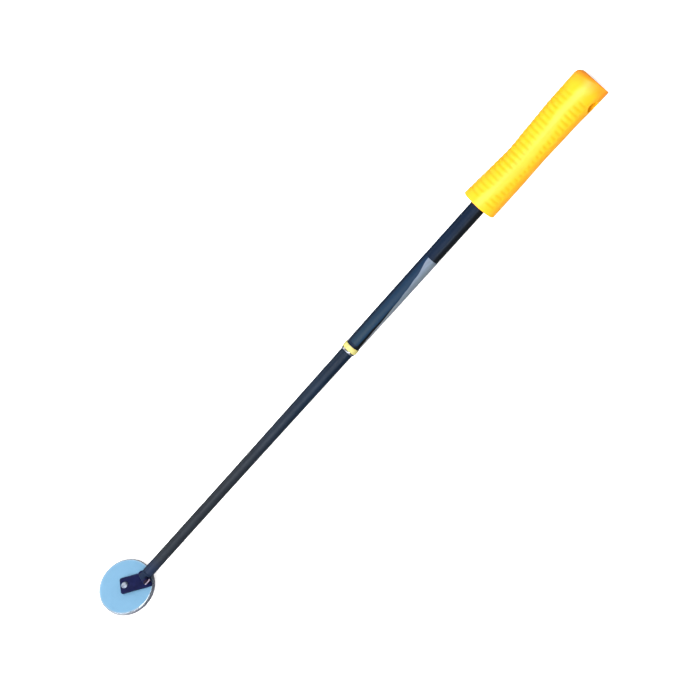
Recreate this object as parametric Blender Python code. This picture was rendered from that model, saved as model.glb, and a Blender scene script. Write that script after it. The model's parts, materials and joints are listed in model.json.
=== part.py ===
"""Telescoping inspection mirror: moulded grip, two-stage tube, riveted swivel head and a round
mirror in a metal cup.

Frame: origin at the centre of the grip's butt face, +X along the tube towards the mirror, +Z up.
Dimensions are in millimetres and are turned into metres when a mesh is made. Each part of the
head is built in the frame of the empty that it is parented to.
"""

import math

import bmesh
import bpy
from mathutils import Matrix, Vector

MM = 0.001
ROUND = 36  # segments round the tubes
SMALL = 24  # segments round the rivets and washers
DISC = 64  # segments round the mirror

# ---------------------------------------------------------------- dimensions shared by sections
OUTER_R_GRIP = 6.4
OUTER_START = 26.0
PLUG_GAP = 0.15  # between a plug and the bore round it
END_GAP = 0.3  # lengthwise, where parts follow one another

INNER_R_TIP = 4.80
INNER_BORE_R = 4.2
INNER_END = 547.0
INNER_PLUG_R = INNER_BORE_R - PLUG_GAP
TUBE_PIN_X = 539.5  # spring pin across the inner tube and the knuckle

PIVOT_X = 553.5  # cross pin's centre, on the tube axis
HEAD_TILT = 24.0  # degrees from the cup's back up to the tube, at rest
HEAD_ROLL = 32.2  # degrees the head is rolled about the tube, its back towards -Y
PLATE_SWIVEL = 22.0  # degrees from the tube's line to the bracket plate, seen along the normal
PIVOT_HEIGHT = 7.8  # cross pin's centre above the cup's back
PIVOT_REACH = 19.5  # yoke rivet to centre rivet, along the plate

TONGUE_HALF = 2.9
TONGUE_R = 3.2
PIN_R = 1.5
EAR_INNER = 3.4
EAR_OUTER = 4.8
YOKE_LOW, YOKE_HIGH = 3.2, 4.4  # yoke's base, above the cup's back
PLATE_LOW, PLATE_HIGH = 1.2, 2.7  # bracket plate, above the cup's back
CUP_WALL = 0.8
WASHER_GAP = 0.06  # between a flat washer and its neighbours
HEAD_GAP = 0.08  # between a rivet's or pin's head and the face under it

for old in list(bpy.data.objects):
    bpy.data.objects.remove(old, do_unlink=True)


# ---------------------------------------------------------------- scene helpers
def material(name, colour, roughness, metallic=0.0):
    made = bpy.data.materials.new(name)
    made.use_nodes = True
    shader = made.node_tree.nodes["Principled BSDF"]
    shader.inputs["Base Color"].default_value = (*colour, 1.0)
    shader.inputs["Roughness"].default_value = roughness
    shader.inputs["Metallic"].default_value = metallic
    made.diffuse_color = (*colour, 1.0)
    return made


def empty(name, matrix):
    obj = bpy.data.objects.new(name, None)
    bpy.context.collection.objects.link(obj)
    obj.empty_display_size = 0.01
    obj.matrix_world = matrix
    return obj


def add(name, body, finish, parent, matrix=None, smooth=35.0):
    """An object from a bmesh in millimetres; edges sharper than smooth degrees stay sharp."""
    bmesh.ops.scale(body, vec=(MM, MM, MM), verts=body.verts)
    bmesh.ops.recalc_face_normals(body, faces=body.faces)
    mesh = bpy.data.meshes.new(name)
    body.to_mesh(mesh)
    body.free()
    obj = bpy.data.objects.new(name, mesh)
    bpy.context.collection.objects.link(obj)
    if finish is not None:
        mesh.materials.append(finish)
        mesh.shade_smooth()
        mesh.set_sharp_from_angle(angle=math.radians(smooth))
    obj.parent = parent
    if matrix is not None:
        obj.matrix_local = matrix
    return obj


def boolean(obj, name, body, parent, matrix=None, operation="DIFFERENCE"):
    """Combine obj with a hidden helper object made from body."""
    tool = add(name, body, None, parent, matrix)
    tool.hide_render = True
    tool.display_type = "WIRE"
    modifier = obj.modifiers.new(name, "BOOLEAN")
    modifier.operation = operation
    modifier.solver = "EXACT"
    modifier.object = tool


def along_x(distance):
    return Matrix.Translation((distance * MM, 0, 0))


# ---------------------------------------------------------------- shape helpers
def filleted(corners, fillet_steps):
    """Corners (along, radius, fillet) turned into a polyline with rounded corners."""
    points = []
    for i, (along, radius, fillet) in enumerate(corners):
        corner = Vector((along, radius))
        if fillet <= 0:
            points.append(corner)
            continue
        back = (Vector(corners[i - 1][:2]) - corner).normalized()
        ahead = (Vector(corners[(i + 1) % len(corners)][:2]) - corner).normalized()
        half = back.angle(ahead) / 2
        middle = corner + (back + ahead).normalized() * (fillet / math.sin(half))
        first = corner + back * (fillet / math.tan(half)) - middle
        last = corner + ahead * (fillet / math.tan(half)) - middle
        sweep = math.pi - 2 * half
        for k in range(fillet_steps + 1):
            part = k / fillet_steps
            swung = first * math.sin((1 - part) * sweep) + last * math.sin(part * sweep)
            points.append(middle + swung / math.sin(sweep))
    return points


def spun(corners, axis="X", steps=ROUND, fillet_steps=1):
    """A body of revolution about local X or Z, from corners (along the axis, radius, fillet).

    An outline that starts on the axis also ends on it; any other closes on itself.
    """
    body = bmesh.new()
    verts = []
    for point in filleted(corners, fillet_steps):
        place = (point.x, 0.0, point.y) if axis == "X" else (point.y, 0.0, point.x)
        verts.append(body.verts.new(place))
    edges = [body.edges.new(pair) for pair in zip(verts, verts[1:])]
    if corners[0][1] > 0:
        edges.append(body.edges.new((verts[-1], verts[0])))
    bmesh.ops.spin(
        body,
        geom=verts + edges,
        cent=(0, 0, 0),
        axis=(1, 0, 0) if axis == "X" else (0, 0, 1),
        angle=2 * math.pi,
        steps=steps,
        use_merge=True,
        use_duplicate=False,
    )
    bmesh.ops.remove_doubles(body, verts=body.verts, dist=0.002)
    return body


def washer(low, high, inner, outer, axis="Z", steps=SMALL):
    """A ring of rectangular section."""
    corners = [(low, inner, 0), (low, outer, 0), (high, outer, 0), (high, inner, 0)]
    return spun(corners, axis=axis, steps=steps)


def rod(radius, start, end, axis="Y", steps=SMALL):
    """A plain cylinder along local Y or Z."""
    body = bmesh.new()
    bmesh.ops.create_cone(
        body,
        cap_ends=True,
        cap_tris=False,
        segments=steps,
        radius1=radius,
        radius2=radius,
        depth=end - start,
    )
    bmesh.ops.translate(body, vec=(0, 0, (start + end) / 2), verts=body.verts)
    if axis == "Y":
        turn = Matrix.Rotation(-math.pi / 2, 3, "X")
        bmesh.ops.rotate(body, cent=(0, 0, 0), matrix=turn, verts=body.verts)
    return body


def extruded(outline, low, high, plane="XY"):
    """A flat outline pushed along the third axis from low to high."""
    body = bmesh.new()
    place = {
        "XY": lambda first, second, third: (first, second, third),
        "XZ": lambda first, second, third: (first, third, second),
        "YZ": lambda first, second, third: (third, first, second),
    }[plane]
    face = body.faces.new([body.verts.new(place(*point, low)) for point in outline])
    pushed = bmesh.ops.extrude_face_region(body, geom=[face])
    moved = [item for item in pushed["geom"] if isinstance(item, bmesh.types.BMVert)]
    step = Vector(place(0, 0, high)) - Vector(place(0, 0, low))
    bmesh.ops.translate(body, vec=step, verts=moved)
    return body


def block(x_range, y_range, z_range):
    (x0, x1), (y0, y1) = x_range, y_range
    return extruded([(x0, y0), (x1, y0), (x1, y1), (x0, y1)], *z_range)


def arc(x, y, radius, start, end, count):
    """Points on an arc about (x, y), its angles in degrees."""
    angles = [math.radians(start + (end - start) * i / count) for i in range(count + 1)]
    return [(x + radius * math.cos(angle), y + radius * math.sin(angle)) for angle in angles]


# ---------------------------------------------------------------- frames
def frame(origin, x, y, z):
    matrix = Matrix((x, y, z)).transposed().to_4x4()
    matrix.translation = origin * MM
    return matrix


tilt, roll, swivel = (math.radians(angle) for angle in (HEAD_TILT, HEAD_ROLL, PLATE_SWIVEL))
tube_line = Vector((1, 0, 0))
normal = Vector(  # out of the mirror cup's back
    (-math.sin(tilt), -math.cos(tilt) * math.sin(roll), math.cos(tilt) * math.cos(roll))
)
cross = -tube_line.cross(normal).normalized()  # along the cross pin
towards = cross.cross(normal).normalized()  # in the plate's plane, away from the handle
plate_x = (towards * math.cos(swivel) - cross * math.sin(swivel)).normalized()
plate_y = normal.cross(plate_x)
pivot = Vector((PIVOT_X, 0, 0))
foot = pivot - normal * PIVOT_HEIGHT  # under the pivot, level with the cup's back
cup_centre = foot + plate_x * PIVOT_REACH

tube_axis = empty("tube_axis", Matrix.Identity(4))
tilt_axis = empty("tilt_axis", frame(pivot, towards, cross, normal))
knuckle_axis = empty("knuckle_axis", frame(pivot, tube_line, cross, tube_line.cross(cross)))
swivel_axis = empty("swivel_axis", frame(foot, plate_x, plate_y, normal))
mirror_axis = empty("mirror_axis", frame(cup_centre, plate_x, plate_y, normal))

# placements within those frames
Z_TO_Y = Matrix.Rotation(-math.pi / 2, 4, "X")  # lays a part made along Z along +Y
AT_TUBE_PIN = along_x(TUBE_PIN_X)
AT_CUP_CENTRE = along_x(PIVOT_REACH)  # in swivel_axis

# ---------------------------------------------------------------- materials
YELLOW = material("grip_yellow", colour=(0.93, 0.72, 0.02), roughness=0.32)
NAVY = material("tube_paint", colour=(0.012, 0.020, 0.035), roughness=0.38)
LABEL = material("label_film", colour=(0.03, 0.055, 0.12), roughness=0.30)
RING = material("collar_yellow", colour=(0.95, 0.85, 0.12), roughness=0.35)
BRIGHT = material("bright_steel", colour=(0.78, 0.79, 0.82), roughness=0.18, metallic=1.0)
BLACK_STEEL = material("black_steel", colour=(0.02, 0.022, 0.03), roughness=0.40, metallic=0.6)
PLATE_BLUE = material("plate_navy", colour=(0.012, 0.014, 0.07), roughness=0.35, metallic=0.5)
NYLON = material("nylon", colour=(0.80, 0.79, 0.74), roughness=0.50)
BLACK_NYLON = material("black_nylon", colour=(0.012, 0.012, 0.013), roughness=0.50)
BRONZE = material("bronze", colour=(0.60, 0.38, 0.20), roughness=0.35, metallic=1.0)
RUBBER = material("rubber", colour=(0.02, 0.02, 0.02), roughness=0.80)
CUP = material("cup_blue", colour=(0.42, 0.68, 0.90), roughness=0.16, metallic=1.0)
FOAM = material("foam", colour=(0.75, 0.74, 0.70), roughness=0.90)
GLASS = material("silvered_glass", colour=(0.90, 0.92, 0.93), roughness=0.03, metallic=1.0)

# ---------------------------------------------------------------- grip
GRIP_LENGTH = 128.5
GRIP_STATIONS = (  # x, radius on the back spine, radius on the finger side
    (0.0, 15.6, 13.9),
    (17.0, 15.2, 14.1),
    (33.0, 14.5, 14.1),
    (48.0, 14.3, 13.5),
    (63.0, 14.0, 12.9),
    (80.0, 14.1, 12.05),
    (93.0, 14.4, 12.8),
    (108.5, 14.4, 13.9),
    (GRIP_LENGTH, 14.45, 15.25),
)
GRIP_SEGMENTS = 32
# angles round the section, in degrees
SPINE_ANGLE = 20.0  # the back spine, from +Y towards +Z
SPINE_HALF = 22.0  # half width of the smooth spine strip
SPINE_FADE = 6  # over which the ribs grow beside the strip
RIDGE_AT = 70.0  # smooth ridge between the two sets of ribs, from the spine
RIDGE_HALF = 7.0
RIDGE_FADE = 9
RIB_START = 17.6
RIB_END = 124.0
RIB_COUNT = 22
RIB_DEPTH = 0.5
BUTT_ROUND = 0.4  # rounding of the butt on the spine
BUTT_ROUND_GROWTH = 5.3  # extra rounding on the finger side
BUTT_ROUND_FROM, BUTT_ROUND_TO = 12, 120  # degrees from the spine over which it grows
FRONT_ROUND = 1.3
BUTT_ROWS = (0.0, 0.1, 0.4, 1.0, 1.8, 2.9, 4.3, 5.7, 9.0, 13.5)  # sections, from the butt
FRONT_ROWS = (2.4, 1.3, 0.6, 0.2, 0.0)  # sections, back from the front face
SOCKET_FLOOR = 24.2  # the tube socket stops here, ahead of the hanging hole
SOCKET_R = OUTER_R_GRIP + 0.12
SOCKET_OVERRUN = 2  # the socket cutter beyond the front face
HANG_HOLE_X = 15.8
HANG_HOLE_R = 4.75
HANG_HOLE_REACH = 25


def station_radius(x, column):
    """Radius at x, by a cubic Hermite curve through the stations."""
    points = GRIP_STATIONS
    i = max(k for k in range(len(points) - 1) if points[k][0] <= x)
    start, end = points[i], points[i + 1]

    def slope(k):
        before, after = points[max(k - 1, 0)], points[min(k + 1, len(points) - 1)]
        return (after[column] - before[column]) / (after[0] - before[0])

    span = end[0] - start[0]
    part = (x - start[0]) / span
    return (
        (2 * part**3 - 3 * part**2 + 1) * start[column]
        + (part**3 - 2 * part**2 + part) * span * slope(i)
        + (-2 * part**3 + 3 * part**2) * end[column]
        + (part**3 - part**2) * span * slope(i + 1)
    )


def blend(value, low, high):
    """Smooth step from 0 at low to 1 at high."""
    part = min(max((value - low) / (high - low), 0.0), 1.0)
    return part * part * (3 - 2 * part)


def rib_weight(off_spine):
    """0 on the spine strip and on the two smooth ridges, 1 on the ribbed flanks."""
    beside_spine = blend(off_spine, SPINE_HALF, SPINE_HALF + SPINE_FADE)
    off_ridge = abs(off_spine - RIDGE_AT)
    return beside_spine * blend(off_ridge, RIDGE_HALF, RIDGE_HALF + RIDGE_FADE)


def rounding(radius, distance):
    """How far a rounded end draws the surface in, at a distance from the end face."""
    if distance >= radius:
        return 0.0
    return radius - math.sqrt(radius**2 - (radius - distance) ** 2)


def grip_radius(x, angle, valley):
    """Radius at an angle from +Y; valley is 1 at the bottom between ribs, otherwise 0."""
    off_spine = abs((math.degrees(angle) - SPINE_ANGLE + 180) % 360 - 180)
    spine, finger = station_radius(x, 1), station_radius(x, 2)
    side = math.cos(math.radians(off_spine))
    radius = (spine + finger) / 2 + (spine - finger) / 2 * side
    radius -= RIB_DEPTH * valley * rib_weight(off_spine)
    growth = blend(off_spine, BUTT_ROUND_FROM, BUTT_ROUND_TO)
    radius -= rounding(BUTT_ROUND + BUTT_ROUND_GROWTH * growth, x)
    return radius - rounding(FRONT_ROUND, GRIP_LENGTH - x)


def place_section(verts, x, valley):
    for i, vert in enumerate(verts):
        angle = 2 * math.pi * i / GRIP_SEGMENTS
        radius = grip_radius(x, angle, valley)
        vert.co = (x, radius * math.cos(angle), radius * math.sin(angle))


def next_section(body, section):
    """Extrude a closed loop of vertices and return the new loop in the same order."""
    edges = [body.edges.get(pair) for pair in zip(section, section[1:] + section[:1])]
    grown = bmesh.ops.extrude_edge_only(body, edges=edges)
    new = [item for item in grown["geom"] if isinstance(item, bmesh.types.BMVert)]
    return [
        next(edge.other_vert(vert) for edge in vert.link_edges if edge.other_vert(vert) in new)
        for vert in section
    ]


def make_grip():
    pitch = (RIB_END - RIB_START) / RIB_COUNT
    rows = [(x, 0) for x in BUTT_ROWS]
    for k in range(RIB_COUNT):
        rows.append((RIB_START + k * pitch, 0))
        rows.append((RIB_START + (k + 0.5) * pitch, 1))
    rows.append((RIB_END, 0))
    rows += [(GRIP_LENGTH - distance, 0) for distance in FRONT_ROWS]

    body = bmesh.new()
    # only the circle's topology is kept, so its radius is free
    circle = bmesh.ops.create_circle(body, cap_ends=True, segments=GRIP_SEGMENTS, radius=10)
    section = list(circle["verts"])
    place_section(section, *rows[0])
    for row in rows[1:]:
        section = next_section(body, section)
        place_section(section, *row)
    body.faces.new(section)
    grip = add("grip", body, YELLOW, tube_axis, smooth=50)

    mouth = GRIP_LENGTH + SOCKET_OVERRUN
    corners = [(SOCKET_FLOOR, 0, 0), (SOCKET_FLOOR, SOCKET_R, 0), (mouth, SOCKET_R, 0), (mouth, 0, 0)]
    boolean(grip, "grip_socket", spun(corners), tube_axis)
    hole = rod(HANG_HOLE_R, -HANG_HOLE_REACH, HANG_HOLE_REACH, steps=32)
    lean = Matrix.Rotation(math.radians(SPINE_ANGLE), 4, "X")
    boolean(grip, "hang_hole", hole, tube_axis, along_x(HANG_HOLE_X) @ lean)


# ---------------------------------------------------------------- outer tube
OUTER_END = 281.6
OUTER_R_MOUTH = 5.98
OUTER_TAPER_FROM = 150.0
OUTER_BORE_R = 5.65
END_PLUG_START = SOCKET_FLOOR + END_GAP
END_PLUG_SHOULDER = OUTER_START - END_GAP
END_PLUG_END = 33.5
END_PLUG_FLANGE_R = 6.25
END_PLUG_R = OUTER_BORE_R - PLUG_GAP
BUMPER_START = END_PLUG_END + END_GAP
BUMPER_END = 37.0
BUMPER_R = 5.2
LABEL_START = 184.0
LABEL_END = 276.0
LABEL_GAP = 0.03
LABEL_THICK = 0.10
COLLAR_START = 279.0
COLLAR_END = 283.5
COLLAR_R = 6.65
COLLAR_BORE_R = 6.06
FERRULE_START = 281.9
FERRULE_FLANGE_START = COLLAR_END + 0.25
FERRULE_END = 285.4
FERRULE_R = 5.95
FERRULE_BORE_R = 5.48
FERRULE_FLANGE_R = 6.2


def outer_radius(x):
    """Outer tube's radius at x, on its taper."""
    part = (x - OUTER_TAPER_FROM) / (OUTER_END - OUTER_TAPER_FROM)
    return OUTER_R_GRIP + (OUTER_R_MOUTH - OUTER_R_GRIP) * part


def make_outer_tube():
    corners = [
        (OUTER_START, OUTER_BORE_R, 0),
        (OUTER_START, OUTER_R_GRIP, 0.15),
        (OUTER_TAPER_FROM, OUTER_R_GRIP, 0),
        (OUTER_END, OUTER_R_MOUTH, 0.1),
        (OUTER_END, OUTER_BORE_R, 0),
    ]
    add("outer_tube", spun(corners), NAVY, tube_axis)


def make_end_plug():
    corners = [
        (END_PLUG_START, 0, 0),
        (END_PLUG_START, END_PLUG_FLANGE_R, 0.3),
        (END_PLUG_SHOULDER, END_PLUG_FLANGE_R, 0.2),
        (END_PLUG_SHOULDER, END_PLUG_R, 0),
        (END_PLUG_END, END_PLUG_R, 0.6),
        (END_PLUG_END, 0, 0),
    ]
    add("tube_end_plug", spun(corners), NYLON, tube_axis)


def make_bumper():
    corners = [
        (BUMPER_START, 0, 0),
        (BUMPER_START, BUMPER_R, 0.4),
        (BUMPER_END, BUMPER_R, 1.2),
        (BUMPER_END, 0, 0),
    ]
    add("end_bumper", spun(corners), RUBBER, tube_axis)


def make_label():
    under, over = LABEL_GAP, LABEL_GAP + LABEL_THICK
    corners = [
        (LABEL_START, outer_radius(LABEL_START) + under, 0),
        (LABEL_START, outer_radius(LABEL_START) + over, 0),
        (LABEL_END, outer_radius(LABEL_END) + over, 0),
        (LABEL_END, outer_radius(LABEL_END) + under, 0),
    ]
    add("label_wrap", spun(corners), LABEL, tube_axis)


def make_collar():
    corners = [
        (COLLAR_START, COLLAR_BORE_R, 0),
        (COLLAR_START, COLLAR_R, 0.25),
        (COLLAR_END, COLLAR_R, 0.25),
        (COLLAR_END, COLLAR_BORE_R, 0),
    ]
    add("collar_ring", spun(corners), RING, tube_axis)


def make_ferrule():
    corners = [
        (FERRULE_START, FERRULE_BORE_R, 0),
        (FERRULE_START, FERRULE_R, 0.1),
        (FERRULE_FLANGE_START, FERRULE_R, 0),
        (FERRULE_FLANGE_START, FERRULE_FLANGE_R, 0.15),
        (FERRULE_END, FERRULE_FLANGE_R, 0.4),
        (FERRULE_END, FERRULE_BORE_R, 0),
    ]
    add("mouth_ferrule", spun(corners), BRIGHT, tube_axis)


# ---------------------------------------------------------------- inner tube and its sleeve
SLEEVE_START = 262.6
SLEEVE_END = 279.4
SLEEVE_R = 5.58
SLEEVE_BORE_R = 5.02
GROOVE_START = 268.0
GROOVE_END = 274.0
GROOVE_R = 5.32
SPRING_INNER, SPRING_OUTER = 4.99, 5.24
SPRING_END_GAP = 0.3
SLOT_HALF = 0.7  # slot along the sleeve's -Z side
SPRING_GAP_HALF = 1.1  # gap in the spring ring, on the same side
SLIT_X, SLIT_Z = (255, 285), (-7, -3)  # reach of both slit cutters
NECK_START = 262.3
NECK_END = 279.8
NECK_R = 4.9
NECK_SLOPE = 0.4  # length of the cone up from the neck
INNER_R_MOUTH = 5.40
INNER_TAPER_FROM = 286.0
INNER_TAPER_TO = 430.0
TAIL_START = 257.5
TAIL_SHOULDER = NECK_START - END_GAP
TAIL_END = 274.0
TAIL_FLANGE_R = 5.42
TAIL_BORE_R = 1.0
PIN_HOLE_R = 0.95
PIN_HOLE_REACH = 7


def make_sleeve():
    corners = [
        (SLEEVE_START, SLEEVE_BORE_R, 0),
        (SLEEVE_START, SLEEVE_R, 0.2),
        (SLEEVE_END, SLEEVE_R, 0.2),
        (SLEEVE_END, SLEEVE_BORE_R, 0),
        (GROOVE_END, SLEEVE_BORE_R, 0),
        (GROOVE_END, GROOVE_R, 0),
        (GROOVE_START, GROOVE_R, 0),
        (GROOVE_START, SLEEVE_BORE_R, 0),
    ]
    sleeve = add("friction_sleeve", spun(corners), NYLON, tube_axis)
    slot = block(SLIT_X, (-SLOT_HALF, SLOT_HALF), SLIT_Z)
    boolean(sleeve, "sleeve_slot", slot, tube_axis)


def make_spring():
    start, end = GROOVE_START + SPRING_END_GAP, GROOVE_END - SPRING_END_GAP
    body = washer(start, end, SPRING_INNER, SPRING_OUTER, axis="X", steps=ROUND)
    spring = add("friction_spring", body, BRONZE, tube_axis)
    gap = block(SLIT_X, (-SPRING_GAP_HALF, SPRING_GAP_HALF), SLIT_Z)
    boolean(spring, "spring_gap", gap, tube_axis)


def drill_pin_hole(obj, name):
    hole = rod(PIN_HOLE_R, -PIN_HOLE_REACH, PIN_HOLE_REACH, steps=16)
    boolean(obj, name, hole, tube_axis, AT_TUBE_PIN)


def make_inner_tube():
    corners = [
        (NECK_START, INNER_BORE_R, 0),
        (NECK_START, NECK_R, 0.1),
        (NECK_END, NECK_R, 0),
        (NECK_END + NECK_SLOPE, INNER_R_MOUTH, 0),
        (INNER_TAPER_FROM, INNER_R_MOUTH, 0),
        (INNER_TAPER_TO, INNER_R_TIP, 0),
        (INNER_END, INNER_R_TIP, 0.15),
        (INNER_END, INNER_BORE_R, 0),
    ]
    drill_pin_hole(add("inner_tube", spun(corners), NAVY, tube_axis), "tube_pin_hole")


def make_tail_plug():
    corners = [
        (TAIL_START, TAIL_BORE_R, 0),
        (TAIL_START, TAIL_FLANGE_R, 0.8),
        (TAIL_SHOULDER, TAIL_FLANGE_R, 0.2),
        (TAIL_SHOULDER, INNER_PLUG_R, 0),
        (TAIL_END, INNER_PLUG_R, 0.4),
        (TAIL_END, TAIL_BORE_R, 0),
    ]
    add("tail_plug", spun(corners), NYLON, tube_axis)


# ---------------------------------------------------------------- tip knuckle
# x from the pivot
KNUCKLE_START = 532.5 - PIVOT_X
KNUCKLE_SHOULDER = INNER_END + END_GAP - PIVOT_X
KNUCKLE_SHOULDER_END = -4.75
KNUCKLE_NOSE = -3.9
KNUCKLE_NOSE_R = 3.1
TONGUE_ROOT = -6.0
BORE_REACH = 8  # cutters for the cross pin's holes
SPRING_PIN_HALF = 4.6  # half length
SPRING_PIN_INNER, SPRING_PIN_OUTER = 0.45, 0.8
PIN_SLIT = ((0.2, 1.2), (-0.18, 0.18), (-6, 6))  # x, y and z ranges, z along the pin


def make_knuckle():
    """A plug in the tube's end that is forged flat into a tongue round the cross pin."""
    corners = [
        (KNUCKLE_START, 0, 0),
        (KNUCKLE_START, INNER_PLUG_R, 0.5),
        (KNUCKLE_SHOULDER, INNER_PLUG_R, 0),
        (KNUCKLE_SHOULDER, INNER_R_TIP, 0.15),
        (KNUCKLE_SHOULDER_END, INNER_R_TIP, 0.6),
        (KNUCKLE_NOSE, KNUCKLE_NOSE_R, 0.3),
        (KNUCKLE_NOSE, 0, 0),
    ]
    knuckle = add("tip_knuckle", spun(corners), BLACK_STEEL, knuckle_axis)
    nose = arc(0, 0, TONGUE_R, -90, 90, 16)
    outline = [(TONGUE_ROOT, -TONGUE_R)] + nose + [(TONGUE_ROOT, TONGUE_R)]
    tongue = extruded(outline, -TONGUE_HALF, TONGUE_HALF, "XZ")
    boolean(knuckle, "tongue", tongue, knuckle_axis, operation="UNION")
    bore = rod(PIN_R + 0.15, -BORE_REACH, BORE_REACH)
    boolean(knuckle, "tongue_bore", bore, knuckle_axis)
    drill_pin_hole(knuckle, "shank_pin_hole")


def make_spring_pin():
    corners = [
        (-SPRING_PIN_HALF, SPRING_PIN_INNER, 0),
        (-SPRING_PIN_HALF, SPRING_PIN_OUTER, 0.12),
        (SPRING_PIN_HALF, SPRING_PIN_OUTER, 0.12),
        (SPRING_PIN_HALF, SPRING_PIN_INNER, 0),
    ]
    body = spun(corners, axis="Z", steps=20)
    across = AT_TUBE_PIN @ Z_TO_Y
    pin = add("knuckle_spring_pin", body, BLACK_STEEL, tube_axis, across, smooth=50)
    boolean(pin, "pin_slit", block(*PIN_SLIT), tube_axis, across)


# ---------------------------------------------------------------- swivel yoke and cross pin
# tilt_axis frame: origin at the pivot, cross pin along Y
EAR_R = 3.4
TRIM = 1  # stock left for the ear outline to cut away, and the cutters' overrun
BASE_LOW, BASE_HIGH = YOKE_LOW - PIVOT_HEIGHT, YOKE_HIGH - PIVOT_HEIGHT
YOKE_BASE_R = 4.2
YOKE_RIVET_R = 1.6
YOKE_HOLE_R = YOKE_RIVET_R + 0.15  # also the washer's hole
SINK_R = 2.95
SINK_STEP = 0.15  # straight bore under the countersink, and the cutter's overrun above it
PIN_TAIL_END = -5.75
PIN_TAIL_R, PIN_TAIL_RIM_R = 2.2, 2.4
PIN_HEAD_R = 3.2
PIN_HEAD_RIM, PIN_HEAD_TOP = EAR_OUTER + 1.3, EAR_OUTER + 1.4
DRIVER_SLOT = ((-5, 5), (EAR_OUTER + 0.5, 9), (-0.6, 0.6))  # x, y and z ranges


def make_yoke():
    ear_top = EAR_R + TRIM
    u_profile = [
        (-EAR_OUTER, BASE_LOW),
        (EAR_OUTER, BASE_LOW),
        (EAR_OUTER, ear_top),
        (EAR_INNER, ear_top),
        (EAR_INNER, BASE_HIGH),
        (-EAR_INNER, BASE_HIGH),
        (-EAR_INNER, ear_top),
        (-EAR_OUTER, ear_top),
    ]
    yoke = add("swivel_yoke", extruded(u_profile, -EAR_R, EAR_R, "YZ"), PLATE_BLUE, tilt_axis)

    bottom = BASE_LOW - TRIM
    outline = [(-EAR_R, bottom), (EAR_R, bottom)] + arc(0, 0, EAR_R, 0, 180, 16)
    ears = extruded(outline, -EAR_OUTER - TRIM, EAR_OUTER + TRIM, "XZ")
    boolean(yoke, "ear_shape", ears, tilt_axis, operation="INTERSECT")

    corners = [
        (BASE_LOW, 0, 0),
        (BASE_LOW, YOKE_BASE_R, 0),
        (BASE_HIGH, YOKE_BASE_R, 0.3),
        (BASE_HIGH, 0, 0),
    ]
    disc = spun(corners, axis="Z", steps=40, fillet_steps=2)
    boolean(yoke, "yoke_foot", disc, tilt_axis, operation="UNION")
    boolean(yoke, "ear_bores", rod(PIN_R + 0.1, -BORE_REACH, BORE_REACH), tilt_axis)

    corners = [
        (bottom, 0, 0),
        (bottom, YOKE_HOLE_R, 0),
        (BASE_LOW + SINK_STEP, YOKE_HOLE_R, 0),
        (BASE_HIGH + 0.05, SINK_R, 0),
        (BASE_HIGH + SINK_STEP, SINK_R, 0),
        (BASE_HIGH + SINK_STEP, 0, 0),
    ]
    boolean(yoke, "yoke_countersink", spun(corners, axis="Z", steps=SMALL), tilt_axis)


def make_cross_pin():
    """Pin through the ears, with a small head on the -Y side and a slotted one on the +Y side."""
    under_head = EAR_OUTER + HEAD_GAP
    corners = [
        (PIN_TAIL_END, 0, 0),
        (PIN_TAIL_END, PIN_TAIL_R, 0.5),
        (-under_head, PIN_TAIL_RIM_R, 0.1),
        (-under_head, PIN_R, 0),
        (under_head, PIN_R, 0),
        (under_head, PIN_HEAD_R, 0.1),
        (PIN_HEAD_RIM, PIN_HEAD_R, 0.4),
        (PIN_HEAD_TOP, 0, 0),
    ]
    pin = add("cross_pin", spun(corners, axis="Z", steps=SMALL), BRIGHT, tilt_axis, Z_TO_Y)
    boolean(pin, "driver_slot", block(*DRIVER_SLOT), knuckle_axis)


def make_friction_washers():
    for name, side in (("friction_washer_left", -1), ("friction_washer_right", 1)):
        low, high = sorted((side * (TONGUE_HALF + WASHER_GAP), side * (EAR_INNER - WASHER_GAP)))
        body = washer(low, high, PIN_R + 0.12, TONGUE_R - 0.1)
        add(name, body, BLACK_NYLON, tilt_axis, Z_TO_Y)


# ---------------------------------------------------------------- bracket
# swivel_axis frame: origin at the yoke rivet, level with the cup's back, +X to the cup's centre
PLATE_FRONT = 4.2  # plate's end beyond the centre rivet
PLATE_BACK = 24.0  # plate's end on the yoke's side, from the centre rivet
PLATE_WIDTH = 14.4
PLATE_CORNER = 1.6
PLATE_EDGE = 0.18  # bevel
RIVET_HOLE_GAP = 0.12
HOLE_RANGE = (-2, 6)  # z reach of the hole cutters
YOKE_WASHER_R = 4.1
YOKE_RIVET_LOW = 0.45
YOKE_RIVET_HEAD_R, YOKE_RIVET_RIM_R = 2.7, 2.9
YOKE_RIVET_TOP = YOKE_HIGH - 0.05
YOKE_RIVET_TOP_R = 2.72
CENTRE_RIVET_R = 1.9
CENTRE_RIVET_LOW = -1.45
CENTRE_RIVET_HEAD_R, CENTRE_RIVET_RIM_R = 2.9, 3.1
DOME_LOW = PLATE_HIGH + 0.05
DOME_R = 3.05
WAVE_INNER, WAVE_OUTER = 2.35, 4.9
WAVE_HALF_THICK = 0.14
WAVE_HEIGHT = 0.32  # each way from the middle
WAVE_COUNT = 3


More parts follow.
